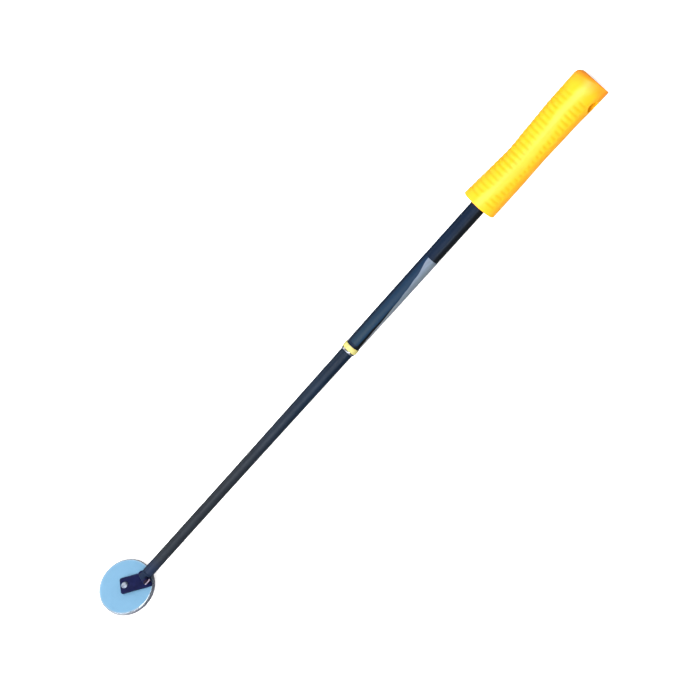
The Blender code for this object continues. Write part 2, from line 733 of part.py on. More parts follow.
def make_plate():
    front = PIVOT_REACH + PLATE_FRONT - PLATE_CORNER
    back = PIVOT_REACH - PLATE_BACK + PLATE_CORNER
    side = PLATE_WIDTH / 2 - PLATE_CORNER
    outline = []
    for i, (x, y) in enumerate([(front, side), (back, side), (back, -side), (front, -side)]):
        outline += arc(x, y, PLATE_CORNER, 90 * i, 90 * (i + 1), 5)
    plate = add("bracket_plate", extruded(outline, PLATE_LOW, PLATE_HIGH), PLATE_BLUE, swivel_axis)
    bevel = plate.modifiers.new("edge_break", "BEVEL")
    bevel.width = PLATE_EDGE * MM
    bevel.segments = 2
    bevel.limit_method = "ANGLE"
    bevel.angle_limit = math.radians(60)
    for name, radius, matrix in (
        ("yoke_rivet_hole", YOKE_RIVET_R, None),
        ("centre_rivet_hole", CENTRE_RIVET_R, AT_CUP_CENTRE),
    ):
        hole = rod(radius + RIVET_HOLE_GAP, *HOLE_RANGE, axis="Z")
        boolean(plate, name, hole, swivel_axis, matrix)


def make_yoke_washer():
    low, high = PLATE_HIGH + WASHER_GAP, YOKE_LOW - WASHER_GAP
    add("yoke_washer", washer(low, high, YOKE_HOLE_R, YOKE_WASHER_R), BRIGHT, swivel_axis)


def make_yoke_rivet():
    corners = [
        (YOKE_RIVET_LOW, 0, 0),
        (YOKE_RIVET_LOW, YOKE_RIVET_HEAD_R, 0.25),
        (PLATE_LOW - HEAD_GAP, YOKE_RIVET_RIM_R, 0.1),
        (PLATE_LOW - HEAD_GAP, YOKE_RIVET_R, 0),
        (YOKE_LOW + 0.3, YOKE_RIVET_R, 0),
        (YOKE_RIVET_TOP, YOKE_RIVET_TOP_R, 0),
        (YOKE_RIVET_TOP, 0, 0),
    ]
    add("yoke_rivet", spun(corners, axis="Z", steps=SMALL), BRIGHT, swivel_axis)


def make_centre_rivet():
    """Rivet with a flat head inside the cup and a domed one above the plate."""
    corners = [
        (CENTRE_RIVET_LOW, 0, 0),
        (CENTRE_RIVET_LOW, CENTRE_RIVET_HEAD_R, 0.25),
        (-CUP_WALL - HEAD_GAP, CENTRE_RIVET_RIM_R, 0.1),
        (-CUP_WALL - HEAD_GAP, CENTRE_RIVET_R, 0),
        (DOME_LOW, CENTRE_RIVET_R, 0),
        (DOME_LOW, DOME_R, 0.15),
        (PLATE_HIGH + 0.7, DOME_R, 0.6),
        (PLATE_HIGH + 1.9, 1.5, 1.5),
        (PLATE_HIGH + 1.95, 0, 0),
    ]
    body = spun(corners, axis="Z", steps=SMALL)
    add("centre_rivet", body, BRIGHT, swivel_axis, AT_CUP_CENTRE)


def make_wave_washer():
    """A flat ring bent into waves, between the plate and the cup."""
    body = washer(-WAVE_HALF_THICK, WAVE_HALF_THICK, WAVE_INNER, WAVE_OUTER, steps=48)
    for vert in body.verts:
        turn = math.atan2(vert.co.y, vert.co.x)
        vert.co.z += PLATE_LOW / 2 + WAVE_HEIGHT * math.cos(WAVE_COUNT * turn)
    add("wave_washer", body, BRIGHT, swivel_axis, AT_CUP_CENTRE)


# ---------------------------------------------------------------- mirror
# mirror_axis frame: origin at the centre of the cup's back, the cup opening towards -Z
CUP_R = 25.0
CUP_INNER_R = CUP_R - CUP_WALL
CUP_DEPTH = 4.5
CUP_HOLE_R = 2.15
LIP_R = 23.35
LIP_THICK = 0.5
GLASS_R = 23.8
GLASS_LOW, GLASS_HIGH = -3.9, -1.85
GLASS_BEVEL_HEIGHT, GLASS_BEVEL_WIDTH = 0.7, 1.5
PAD_LOW, PAD_HIGH = -1.75, -0.9
PAD_INNER, PAD_OUTER = 3.9, 23.4


def make_cup():
    corners = [
        (0, CUP_HOLE_R, 0),
        (0, CUP_R, 0.9),
        (-CUP_DEPTH, CUP_R, 0.35),
        (-CUP_DEPTH, LIP_R, 0.1),
        (-CUP_DEPTH + LIP_THICK, LIP_R, 0),
        (-CUP_DEPTH + LIP_THICK, CUP_INNER_R, 0),
        (-CUP_WALL, CUP_INNER_R, 0.3),
        (-CUP_WALL, CUP_HOLE_R, 0),
    ]
    add("mirror_cup", spun(corners, axis="Z", steps=DISC), CUP, mirror_axis)


def make_pad():
    body = washer(PAD_LOW, PAD_HIGH, PAD_INNER, PAD_OUTER, steps=DISC)
    add("adhesive_pad", body, FOAM, mirror_axis)


def make_glass():
    corners = [
        (GLASS_HIGH, 0, 0),
        (GLASS_HIGH, GLASS_R, 0.1),
        (GLASS_LOW + GLASS_BEVEL_HEIGHT, GLASS_R, 0),
        (GLASS_LOW, GLASS_R - GLASS_BEVEL_WIDTH, 0),
        (GLASS_LOW, 0, 0),
    ]
    add("glass_mirror", spun(corners, axis="Z", steps=DISC), GLASS, mirror_axis)


for make in (
    make_grip,
    make_outer_tube, make_end_plug, make_bumper, make_label, make_collar, make_ferrule,
    make_sleeve, make_spring, make_inner_tube, make_tail_plug,
    make_knuckle, make_spring_pin,
    make_yoke, make_cross_pin, make_friction_washers,
    make_plate, make_yoke_washer, make_yoke_rivet, make_centre_rivet, make_wave_washer,
    make_cup, make_pad, make_glass,
):
    make()
bpy.context.view_layer.update()
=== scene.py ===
# A telescopic inspection mirror. The tubes run along +X from the butt of the grip at x = 0, with +Z
# up; past their far end a yoke and a bracket plate carry a round mirror in a cup.
# Shapes are built in millimetres in a frame of their own, materials and lights in metres.
import json
import math

import bmesh
import bpy
from mathutils import Matrix, Vector


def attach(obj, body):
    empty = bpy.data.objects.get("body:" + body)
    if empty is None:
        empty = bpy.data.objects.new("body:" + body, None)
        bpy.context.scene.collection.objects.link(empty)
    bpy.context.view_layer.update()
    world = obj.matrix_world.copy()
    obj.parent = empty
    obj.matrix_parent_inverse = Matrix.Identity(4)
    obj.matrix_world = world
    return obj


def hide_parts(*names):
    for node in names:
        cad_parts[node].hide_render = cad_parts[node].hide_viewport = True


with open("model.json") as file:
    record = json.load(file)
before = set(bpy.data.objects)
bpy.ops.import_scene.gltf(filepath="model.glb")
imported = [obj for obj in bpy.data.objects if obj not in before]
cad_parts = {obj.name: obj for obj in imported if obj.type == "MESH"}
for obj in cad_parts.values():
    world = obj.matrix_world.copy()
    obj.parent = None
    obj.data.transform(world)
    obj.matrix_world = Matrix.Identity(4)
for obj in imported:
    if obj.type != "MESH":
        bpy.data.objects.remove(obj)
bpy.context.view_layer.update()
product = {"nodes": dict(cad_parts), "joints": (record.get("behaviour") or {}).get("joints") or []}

MM = 0.001


# ------------------------------------------------------------------ frames, from the joints
def frame_at(origin, x, y, z):
    matrix = Matrix((x, y, z)).transposed().to_4x4()
    matrix.translation = origin
    return matrix


def shift(x):
    """A move of x millimetres along X."""
    return Matrix.Translation((x * MM, 0, 0))


joints = {joint["name"]: joint for joint in product["joints"]}
pivot = Vector(joints["head_tilt"]["pos_m"])
cross = -Vector(joints["head_tilt"]["axis"]).normalized()
foot = Vector(joints["bracket_swivel"]["pos_m"])
normal = Vector(joints["bracket_swivel"]["axis"]).normalized()
centre = Vector(joints["mirror_turn"]["pos_m"])
axis_x = Vector((1, 0, 0))
plate_x = (centre - foot).normalized()
plate_y = normal.cross(plate_x)
HEIGHT = (pivot - foot).dot(normal) / MM  # tilt pivot above the swivel's origin
REACH = (centre - foot).length / MM  # swivel to mirror centre

TUBE = Matrix.Identity(4)
TILT = frame_at(pivot, cross.cross(normal).normalized(), cross, normal)
KNUCKLE = frame_at(pivot, axis_x, cross, axis_x.cross(cross))
SWIVEL = frame_at(foot, plate_x, plate_y, normal)
MIRROR = frame_at(centre, plate_x, plate_y, normal)
CENTRE_RIVET = SWIVEL @ shift(REACH)
Z_TO_Y = Matrix.Rotation(-math.pi / 2, 4, "X")


# ------------------------------------------------------------------ solids, in millimetres
def filleted(profile, closed, fillet_steps):
    """The (along, radius) points of a profile of (along, radius, fillet) corners."""
    points = []
    count = len(profile)
    for i, (along, radius, fillet) in enumerate(profile):
        here = Vector((along, radius))
        if fillet <= 0 or (not closed and i in (0, count - 1)):
            points.append(here)
            continue
        back = (Vector(profile[i - 1][:2]) - here).normalized()
        ahead = (Vector(profile[(i + 1) % count][:2]) - here).normalized()
        half = back.angle(ahead) / 2
        middle = here + (back + ahead).normalized() * (fillet / math.sin(half))
        first = here + back * (fillet / math.tan(half)) - middle
        last = here + ahead * (fillet / math.tan(half)) - middle
        sweep = math.pi - 2 * half
        for k in range(fillet_steps + 1):
            part = k / fillet_steps
            blend = first * math.sin((1 - part) * sweep) + last * math.sin(part * sweep)
            points.append(middle + blend / math.sin(sweep))
    return points


def lathe(profile, axis="X", closed=False, steps=96, fillet_steps=4):
    """A body turned about X or Z from a profile of (along, radius, fillet) corners."""
    solid = bmesh.new()
    rings = []
    for along, radius in filleted(profile, closed, fillet_steps):
        if radius < 1e-6:
            tip = (along, 0, 0) if axis == "X" else (0, 0, along)
            rings.append([solid.verts.new(tip)])
            continue
        ring = []
        for i in range(steps):
            angle = 2 * math.pi * i / steps
            across, over = radius * math.cos(angle), radius * math.sin(angle)
            place = (along, across, over) if axis == "X" else (across, over, along)
            ring.append(solid.verts.new(place))
        rings.append(ring)
    for k in range(len(rings) if closed else len(rings) - 1):
        low, high = rings[k], rings[(k + 1) % len(rings)]
        for i in range(steps):
            j = (i + 1) % steps
            if len(low) == 1:
                solid.faces.new((low[0], high[j], high[i]))
            elif len(high) == 1:
                solid.faces.new((low[i], low[j], high[0]))
            else:
                solid.faces.new((low[i], low[j], high[j], high[i]))
    return solid


def rod(radius, start, end, axis="Y", steps=48):
    """A plain cylinder along Y or Z."""
    solid = bmesh.new()
    bmesh.ops.create_cone(
        solid, cap_ends=True, cap_tris=False, segments=steps,
        radius1=radius, radius2=radius, depth=end - start,
    )
    bmesh.ops.translate(solid, vec=(0, 0, (start + end) / 2), verts=solid.verts)
    if axis == "Y":
        bmesh.ops.rotate(solid, cent=(0, 0, 0), matrix=Z_TO_Y.to_3x3(), verts=solid.verts)
    return solid


def extruded(outline, low, high, plane="XY"):
    """An outline in the named plane, pushed from low to high along the third axis."""
    solid = bmesh.new()
    put = {
        "XY": lambda across, over, depth: (across, over, depth),
        "XZ": lambda across, over, depth: (across, depth, over),
        "YZ": lambda across, over, depth: (depth, across, over),
    }[plane]
    face = solid.faces.new([solid.verts.new(put(*point, low)) for point in outline])
    pushed = bmesh.ops.extrude_face_region(solid, geom=[face])
    moved = [item for item in pushed["geom"] if isinstance(item, bmesh.types.BMVert)]
    push = Vector(put(0, 0, high)) - Vector(put(0, 0, low))
    bmesh.ops.translate(solid, vec=push, verts=moved)
    return solid


def arc(x, y, radius, start, end, count):
    """count + 1 points round (x, y), from start to end in degrees."""
    angles = [math.radians(start + (end - start) * i / count) for i in range(count + 1)]
    return [(x + radius * math.cos(turn), y + radius * math.sin(turn)) for turn in angles]


def graded(points, parts=10):
    """(x, radius) points as profile corners, with more between so long walls shade evenly."""
    corners = []
    for (x0, r0), (x1, r1) in zip(points, points[1:]):
        for k in range(parts):
            part = k / parts
            corners.append((x0 + (x1 - x0) * part, r0 + (r1 - r0) * part, 0))
    return corners + [(*points[-1], 0)]


# ------------------------------------------------------------------ objects
def linked(name, data, matrix):
    obj = bpy.data.objects.new(name, data)
    bpy.context.scene.collection.objects.link(obj)
    obj.matrix_world = matrix
    return obj


def mesh_object(name, solid, matrix):
    mesh = bpy.data.meshes.new(name)
    solid.to_mesh(mesh)
    solid.free()
    return linked(name, mesh, matrix)


def solid_object(name, solid, matrix):
    """An object from a solid in millimetres."""
    bmesh.ops.scale(solid, vec=(MM, MM, MM), verts=solid.verts)
    bmesh.ops.recalc_face_normals(solid, faces=solid.faces)
    return mesh_object(name, solid, matrix)


def piece(name, solid, mat, body, node, at=TUBE, cuts=(), bevel=0.0, sharp=35.0,
          shade_frame=None, paint=None):
    """A finished piece that stands for one CAD node. cuts are (operation, solid, matrix); paint
    maps an attribute's name to a function of x, y, z in millimetres.
    The mesh ends up in the product's frame; its place in shade_frame, or else in its own frame,
    is kept in the attribute "local" for the shaders."""
    obj = solid_object(name, solid, at)
    tools = []
    for k, (operation, tool_solid, tool_matrix) in enumerate(cuts):
        tool = solid_object(f"{name}_tool{k}", tool_solid, tool_matrix)
        mod = obj.modifiers.new(f"cut{k}", "BOOLEAN")
        mod.operation = operation
        mod.solver = "EXACT"
        mod.object = tool
        tools.append(tool)
    if bevel > 0:
        mod = obj.modifiers.new("edge", "BEVEL")
        mod.width = bevel * MM
        mod.segments = 3
        mod.limit_method = "ANGLE"
        mod.angle_limit = math.radians(50)
    bpy.context.view_layer.update()
    if obj.modifiers:
        evaluated = obj.evaluated_get(bpy.context.evaluated_depsgraph_get())
        done = bpy.data.meshes.new_from_object(evaluated)
        obj.modifiers.clear()
        obj.data = done
    for tool in tools:
        bpy.data.objects.remove(tool, do_unlink=True)
    mesh = obj.data
    clean = bmesh.new()
    clean.from_mesh(mesh)
    bmesh.ops.remove_doubles(clean, verts=clean.verts, dist=2e-7)
    clean.to_mesh(mesh)
    clean.free()
    mesh.name = name
    mesh.transform(at)
    obj.matrix_world = Matrix.Identity(4)
    to_local = (shade_frame or at).inverted()
    local = mesh.attributes.new("local", "FLOAT_VECTOR", "POINT")
    for item, vert in zip(local.data, mesh.vertices):
        item.vector = to_local @ vert.co
    for key, value_at in (paint or {}).items():
        layer = mesh.attributes.new(key, "FLOAT", "POINT")
        for item, vert in zip(layer.data, mesh.vertices):
            item.value = value_at(*(vert.co / MM))
    mesh.materials.clear()
    mesh.materials.append(mat)
    mesh.shade_smooth()
    mesh.set_sharp_from_angle(angle=math.radians(sharp))
    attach(obj, body)
    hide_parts(node)


# ------------------------------------------------------------------ shader helpers
class Graph:
    """Adds and links the nodes of one shader tree."""

    def __init__(self, tree):
        self.tree = tree

    def add(self, kind, **props):
        node = self.tree.nodes.new(kind)
        for key, value in props.items():
            setattr(node, key, value)
        return node

    def put(self, socket, value):
        if isinstance(value, bpy.types.NodeSocket):
            self.tree.links.new(value, socket)
        elif isinstance(value, (tuple, list)) and len(value) == 3 and socket.type == "RGBA":
            socket.default_value = (*value, 1.0)
        else:
            socket.default_value = value

    def math(self, operation, first, second=0.0, third=0.0, clamp=False):
        node = self.add("ShaderNodeMath", operation=operation, use_clamp=clamp)
        for socket, value in zip(node.inputs, (first, second, third)):
            self.put(socket, value)
        return node.outputs[0]

    def times(self, first, second, plus=None):
        operation = "MULTIPLY" if plus is None else "MULTIPLY_ADD"
        return self.math(operation, first, second, plus or 0.0)

    def remap(self, value, between, to=(0.0, 1.0), smooth=False):
        kind = "SMOOTHSTEP" if smooth else "LINEAR"
        node = self.add("ShaderNodeMapRange", interpolation_type=kind)
        keys = ("Value", "From Min", "From Max", "To Min", "To Max")
        for key, setting in zip(keys, (value, *between, *to)):
            self.put(node.inputs[key], setting)
        return node.outputs[0]

    def mix(self, factor, start, end, blend="MIX"):
        """The start colour at factor 0, the end colour at 1."""
        node = self.add("ShaderNodeMix", data_type="RGBA", blend_type=blend)
        for index, value in ((0, factor), (6, start), (7, end)):
            self.put(node.inputs[index], value)
        return node.outputs[2]

    def mix_shaders(self, factor, start, end):
        node = self.add("ShaderNodeMixShader")
        for socket, value in zip(node.inputs, (factor, start, end)):
            self.put(socket, value)
        return node.outputs[0]

    def ramp(self, factor, stops, mode="LINEAR"):
        """Stops are (position, colour)."""
        node = self.add("ShaderNodeValToRGB")
        node.color_ramp.interpolation = mode
        elements = node.color_ramp.elements
        while len(elements) < len(stops):
            elements.new(0.5)
        for element, (position, colour) in zip(elements, stops):
            element.position = position
            element.color = (*colour, 1.0)
        self.put(node.inputs[0], factor)
        return node.outputs["Color"]

    def split(self):
        node = self.add("ShaderNodeSeparateXYZ")
        self.put(node.inputs[0], self.coords)
        return tuple(node.outputs)


class Material(Graph):
    """A Principled material, textured in object space or by the "local" attribute."""

    def __init__(self, name, local=False):
        self.mat = bpy.data.materials.new(name)
        self.mat.use_nodes = True
        super().__init__(self.mat.node_tree)
        self.bsdf = self.tree.nodes["Principled BSDF"]
        if local:
            self.coords = self.attribute("local", "Vector")
        else:
            self.coords = self.add("ShaderNodeTexCoord").outputs["Object"]

    def attribute(self, name, output="Fac"):
        return self.add("ShaderNodeAttribute", attribute_name=name).outputs[output]

    def set(self, **values):
        for key, value in values.items():
            self.put(self.bsdf.inputs[key.replace("_", " ")], value)

    def noise(self, scale, detail=3, rough=0.6, stretch=None, distortion=0.0):
        coords = self.coords
        if stretch:
            mapping = self.add("ShaderNodeMapping")
            self.put(mapping.inputs["Vector"], coords)
            mapping.inputs["Scale"].default_value = stretch
            coords = mapping.outputs[0]
        node = self.add("ShaderNodeTexNoise")
        self.put(node.inputs["Vector"], coords)
        node.inputs["Scale"].default_value = scale
        node.inputs["Detail"].default_value = detail
        node.inputs["Roughness"].default_value = rough
        node.inputs["Distortion"].default_value = distortion
        return node.outputs["Fac"]

    def vary(self, between=(0.3, 0.7), to=(0.0, 1.0), **noise):
        """Noise with the range between stretched onto the range to."""
        return self.remap(self.noise(**noise), between, to)

    def voronoi(self, scale):
        node = self.add("ShaderNodeTexVoronoi", feature="F1")
        self.put(node.inputs["Vector"], self.coords)
        node.inputs["Scale"].default_value = scale
        return node.outputs["Distance"]

    def shades(self, factor, colour, scales):
        """A mix between one colour scaled two ways."""
        return self.mix(factor, *(tuple(part * scale for part in colour) for scale in scales))

    def radius_and_z(self):
        x, y, z = self.split()
        return self.math("SQRT", self.math("ADD", self.times(x, x), self.times(y, y))), z

    def bump(self, height, strength, depth=0.00005, under=None):
        node = self.add("ShaderNodeBump")
        node.inputs["Strength"].default_value = strength
        node.inputs["Distance"].default_value = depth
        self.put(node.inputs["Height"], height)
        if under is not None:
            self.put(node.inputs["Normal"], under)
        self.put(self.bsdf.inputs["Normal"], node.outputs[0])
        return node.outputs[0]


# ------------------------------------------------------------------ materials
LABEL_START, LABEL_END = 184.0, 276.0


def grip_vinyl():
    """Soft yellow vinyl; "valley", "spine" and "crest" are painted on the mesh and steer painted shade
    and a painted highlight.
    """
    mat = Material("grip_vinyl")
    valley, spine, crest = [mat.attribute(key) for key in ("valley", "spine", "crest")]
    broad = mat.noise(scale=55)
    yellows = (0.76, 0.356, 0.0035), (0.79, 0.386, 0.0050)
    colour = mat.mix(mat.remap(broad, between=(0.35, 0.68)), *yellows)
    # painted shade: deeper along the spine and in the valleys; painted highlight: paler on the ridges
    colour = mat.mix(mat.times(spine, 0.25), colour, (0.76, 0.280, 0.0085))
    colour = mat.mix(mat.times(valley, 0.34), colour, (0.72, 0.272, 0.0010))
    # painted highlight on the smooth ridge, strongest near the butt
    paling = mat.remap(mat.split()[0], between=(0.022, 0.012), to=(0.52, 1.0))
    colour = mat.mix(mat.times(crest, paling), colour, (0.80, 0.398, 0.0330))
    # painted shade: a darker butt end, with a ragged border
    ragged_x = mat.times(broad, 0.004, plus=mat.split()[0])
    butt_shade = mat.remap(ragged_x, between=(0.0150, 0.0035), smooth=True)
    colour = mat.mix(mat.times(butt_shade, 0.86), colour, (0.76, 0.235, 0.0060))
    # grime, most of it in the valleys
    patches = mat.vary(scale=420, detail=5, rough=0.65, between=(0.60, 0.78))
    grime = mat.times(patches, mat.times(valley, 0.25, plus=0.07))
    mat.set(
        Base_Color=mat.mix(grime, colour, (0.44, 0.16, 0.01)),
        Roughness=mat.vary(scale=160, detail=4, to=(0.32, 0.42)),
        Subsurface_Weight=0.20,
        Subsurface_Radius=(1.0, 0.40, 0.06),
        Subsurface_Scale=0.0020,
        Specular_IOR_Level=0.34,
    )
    skin = mat.bump(mat.voronoi(scale=1900), strength=0.10)
    mat.bump(mat.noise(scale=2600, detail=4), strength=0.08, depth=0.00004, under=skin)
    return mat.mat


def tube_paint(name, base, scratches, shine, tip=None, side=None):
    """Blue-black paint; tip is a paler tone towards the tube's far end, a painted sheen; side is a
    darker tone round +Y, a painted shade.
    """
    mat = Material(name)
    spread = (0.82, 1.18)
    tone = mat.vary(scale=35)
    colour = mat.shades(tone, base, spread)
    if side:
        x, y, z = mat.split()
        # painted shade: darker round towards +Y
        shaded_side = mat.remap(mat.math("ARCTAN2", y, z), between=(-0.05, 0.70), smooth=True)
        colour = mat.mix(shaded_side, colour, side)
    # painted sheen: a paler, greyer tone towards the far end
    if tip:
        far_sheen = mat.shades(tone, tip, spread)
        along = mat.split()[0]
        colour = mat.mix(mat.remap(along, between=(0.30, 0.45), smooth=True), colour, far_sheen)
        # painted reflection: bluer again at the very end
        end = mat.remap(along, between=(0.526, 0.545), smooth=True)
        colour = mat.mix(end, colour, (0.0075, 0.0150, 0.0370))
    rub = mat.noise(scale=900, detail=4, rough=0.7, stretch=(0.02, 1, 1))
    lines = mat.remap(rub, between=(0.60, 0.70))
    colour = mat.mix(mat.times(lines, scratches), colour, (0.05, 0.055, 0.06))
    specks = mat.math("LESS_THAN", mat.voronoi(scale=330), 0.055)
    base_rough = mat.vary(scale=240, detail=4, to=(0.28, 0.34))
    mat.set(
        Base_Color=mat.mix(mat.times(specks, 0.15), colour, (0.06, 0.06, 0.065)),
        Roughness=mat.math("ADD", base_rough, mat.times(lines, 0.08)),
        Specular_IOR_Level=shine,
    )
    scored = mat.bump(rub, strength=0.04, depth=0.00002)
    peel = mat.noise(scale=1400, rough=0.5)
    mat.bump(peel, strength=0.03, depth=0.00003, under=scored)
    return mat.mat


# The silver sweep's edge: part of the film's length, part of the turn from -30 to 90 degrees
SWEEP_EDGE = (
    (0.0, 0.095), (0.20, 0.345), (0.34, 0.455), (0.48, 0.533), (0.75, 0.658), (1.0, 0.758),
)


def label_film():
    """Navy film with a silver sweep: x along the tube, angle from +Z towards +Y in degrees."""
    mat = Material("label_film")
    x, y, z = mat.split()
    angle = mat.times(mat.math("ARCTAN2", y, z), 180 / math.pi)
    along = mat.remap(x, between=(LABEL_START * MM, LABEL_END * MM))
    edge = mat.ramp(along, [(at, (turn,) * 3) for at, turn in SWEEP_EDGE], mode="EASE")
    edge_angle = mat.times(edge, 120.0, plus=-30.0)
    # folded about the film's lower side, so the sweep closes on itself
    from_fold = mat.math("ABSOLUTE", mat.math("SUBTRACT", angle, 110.0))
    folded = mat.math("SUBTRACT", 110.0, from_fold)
    over = mat.math("SUBTRACT", folded, edge_angle)
    silver = mat.remap(over, between=(-2.2, 2.2), smooth=True)
    # a dark rule along the sweep's edge, widening towards the collar
    width = mat.remap(along, between=(0.46, 1.0), to=(2.0, 29.0))
    rule_start = mat.remap(mat.math("ADD", over, width), between=(0.0, 2.5), smooth=True)
    rule_end = mat.remap(over, between=(3.0, 0.5), smooth=True)
    rule_along = mat.remap(along, between=(0.44, 0.56), smooth=True)
    rule = mat.times(mat.times(rule_start, rule_end), rule_along)
    # the navy ground: drifting blue, with painted shade low on the -Y side and a painted highlight band
    # near the top
    sky = mat.mix(along, (0.0026, 0.0160, 0.0420), (0.0070, 0.0225, 0.0430))
    drift = mat.vary(scale=60, detail=2, rough=0.5, stretch=(0.3, 1, 1), between=(0.35, 0.7))
    sky = mat.mix(mat.times(drift, 0.6), sky, (0.0030, 0.0180, 0.0520))
    # painted shade low on the -Y side
    label_shade = mat.remap(angle, between=(-22.0, -50.0), smooth=True)
    sky = mat.mix(mat.times(label_shade, 0.75), sky, (0.0030, 0.0075, 0.0180))
    # painted highlight: a paler band near the top
    from_highlight = mat.math("ABSOLUTE", mat.math("ADD", angle, -2.0))
    top_highlight = mat.times(
        mat.remap(from_highlight, between=(16.0, 4.0), smooth=True),
        mat.remap(along, between=(0.2, 0.9)),
    )
    sky = mat.mix(mat.times(top_highlight, 0.35), sky, (0.0200, 0.0350, 0.0480))
    # the silver: hatched along the tube, paler towards the collar
    around = mat.remap(folded, between=(-5.0, 45.0))
    metal = mat.mix(around, (0.112, 0.145, 0.215), (0.115, 0.145, 0.170))
    hatch = mat.vary(scale=700, rough=0.5, stretch=(0.15, 1, 1), between=(0.35, 0.7))
    metal = mat.mix(hatch, metal, (0.105, 0.132, 0.172))
    metal = mat.mix(mat.remap(along, between=(0.42, 0.95)), metal, (0.185, 0.205, 0.225))
    colour = mat.mix(silver, sky, metal)
    mat.set(
        Base_Color=mat.mix(rule, colour, (0.0020, 0.0024, 0.0034)),
        Metallic=mat.times(silver, 0.06),
        Roughness=mat.vary(scale=300, rough=0.5, to=(0.28, 0.35)),
        Specular_IOR_Level=0.21,
    )
    mat.bump(mat.noise(scale=1100, rough=0.5), strength=0.02, depth=0.00002)
    return mat.mat


def collar_plastic():
    """Dull yellow plastic with a little dirt."""
    mat = Material("collar_plastic")
    tone = mat.vary(scale=300, between=(0.35, 0.7))
    colour = mat.mix(tone, (0.405, 0.365, 0.110), (0.43, 0.40, 0.135))
    dirt = mat.vary(scale=900, detail=4, rough=0.7, between=(0.62, 0.75))
    mat.set(
        Base_Color=mat.mix(mat.times(dirt, 0.25), colour, (0.34, 0.22, 0.04)),
        Roughness=mat.vary(scale=500, rough=0.5, to=(0.28, 0.40)),
        Subsurface_Weight=0.2,
        Subsurface_Radius=(1.0, 0.7, 0.2),
        Subsurface_Scale=0.0015,
    )
    mat.bump(mat.noise(scale=2200, rough=0.5), strength=0.08, depth=0.00004)
    return mat.mat


def bright_metal(name, base, rough):
    """Swirled bright metal with darker tarnish."""
    mat = Material(name)
    swirl = mat.noise(scale=1500, detail=5, rough=0.7, distortion=0.6)
    tarnish = mat.vary(scale=380, detail=4, between=(0.45, 0.75))
    mat.set(
        Base_Color=mat.shades(tarnish, base, (1.0, 0.78)),
        Metallic=1.0,
        Roughness=mat.remap(swirl, between=(0.3, 0.7), to=rough),
    )
    mat.bump(swirl, strength=0.10)
    return mat.mat


def convex_edges(mat, radius, between):
    """0 on flat ground, 1 along convex edges: a bevelled normal against the true one."""
    bevel = mat.add("ShaderNodeBevel", samples=6)
    bevel.inputs["Radius"].default_value = radius
    geometry = mat.add("ShaderNodeNewGeometry")
    dot = mat.add("ShaderNodeVectorMath", operation="DOT_PRODUCT")
    mat.put(dot.inputs[0], bevel.outputs[0])
    mat.put(dot.inputs[1], geometry.outputs["Normal"])
    return mat.remap(mat.math("SUBTRACT", 1.0, dot.outputs["Value"]), between)


def dark_metal(name, base, metallic):
    """Dark metal, worn along its edges and faintly scratched."""
    mat = Material(name, local=True)
    colour = mat.shades(mat.vary(scale=150, detail=4), base, (0.75, 1.3))
    edges = convex_edges(mat, radius=0.00045, between=(0.02, 0.30))
    rub = mat.vary(scale=2600, detail=5, rough=0.75, between=(0.42, 0.62))
    edge_wear = mat.times(mat.times(edges, rub), 0.18)
    scratch = mat.vary(
        scale=1300, detail=4, rough=0.7, stretch=(0.08, 1, 1), between=(0.64, 0.70)
    )
    wear = mat.math("ADD", edge_wear, mat.times(scratch, 0.06), clamp=True)
    mat.set(
        Base_Color=mat.mix(wear, colour, (0.12, 0.12, 0.14)),
        Metallic=mat.math("ADD", metallic, mat.times(wear, 0.6), clamp=True),
        Roughness=mat.vary(scale=500, detail=4, to=(0.30, 0.46)),
        Specular_IOR_Level=0.15,
    )
    mat.bump(mat.noise(scale=1500, rough=0.5), strength=0.10)
    return mat.mat


def slotted_steel():
    """Dark plated screw head whose driver slot is bright: worn bare metal with a painted highlight
    streak.
    """
    mat = Material("slotted_steel", local=True)
    x, y, z = mat.split()
    slot = mat.times(
        mat.remap(mat.math("ABSOLUTE", z), between=(0.00078, 0.00062)),
        mat.math("GREATER_THAN", y, 0.0050),
    )
    rub = mat.noise(scale=1500, detail=5, rough=0.7, distortion=0.6)
    rubbed = (0.35, 0.7)
    dark = mat.mix(mat.remap(rub, rubbed), (0.030, 0.016, 0.034), (0.060, 0.036, 0.062))
    # the slot's pale mauve is partly worn bare metal, partly a painted highlight
    bare_glint = mat.mix(mat.remap(rub, rubbed), (0.50, 0.40, 0.50), (0.66, 0.58, 0.68))
    mat.set(
        Base_Color=mat.mix(slot, dark, bare_glint),
        Metallic=mat.times(slot, -0.45, plus=0.85),
        Roughness=mat.vary(scale=900, detail=4, to=(0.32, 0.46)),
    )
    mat.bump(rub, strength=0.10)
    return mat.mat


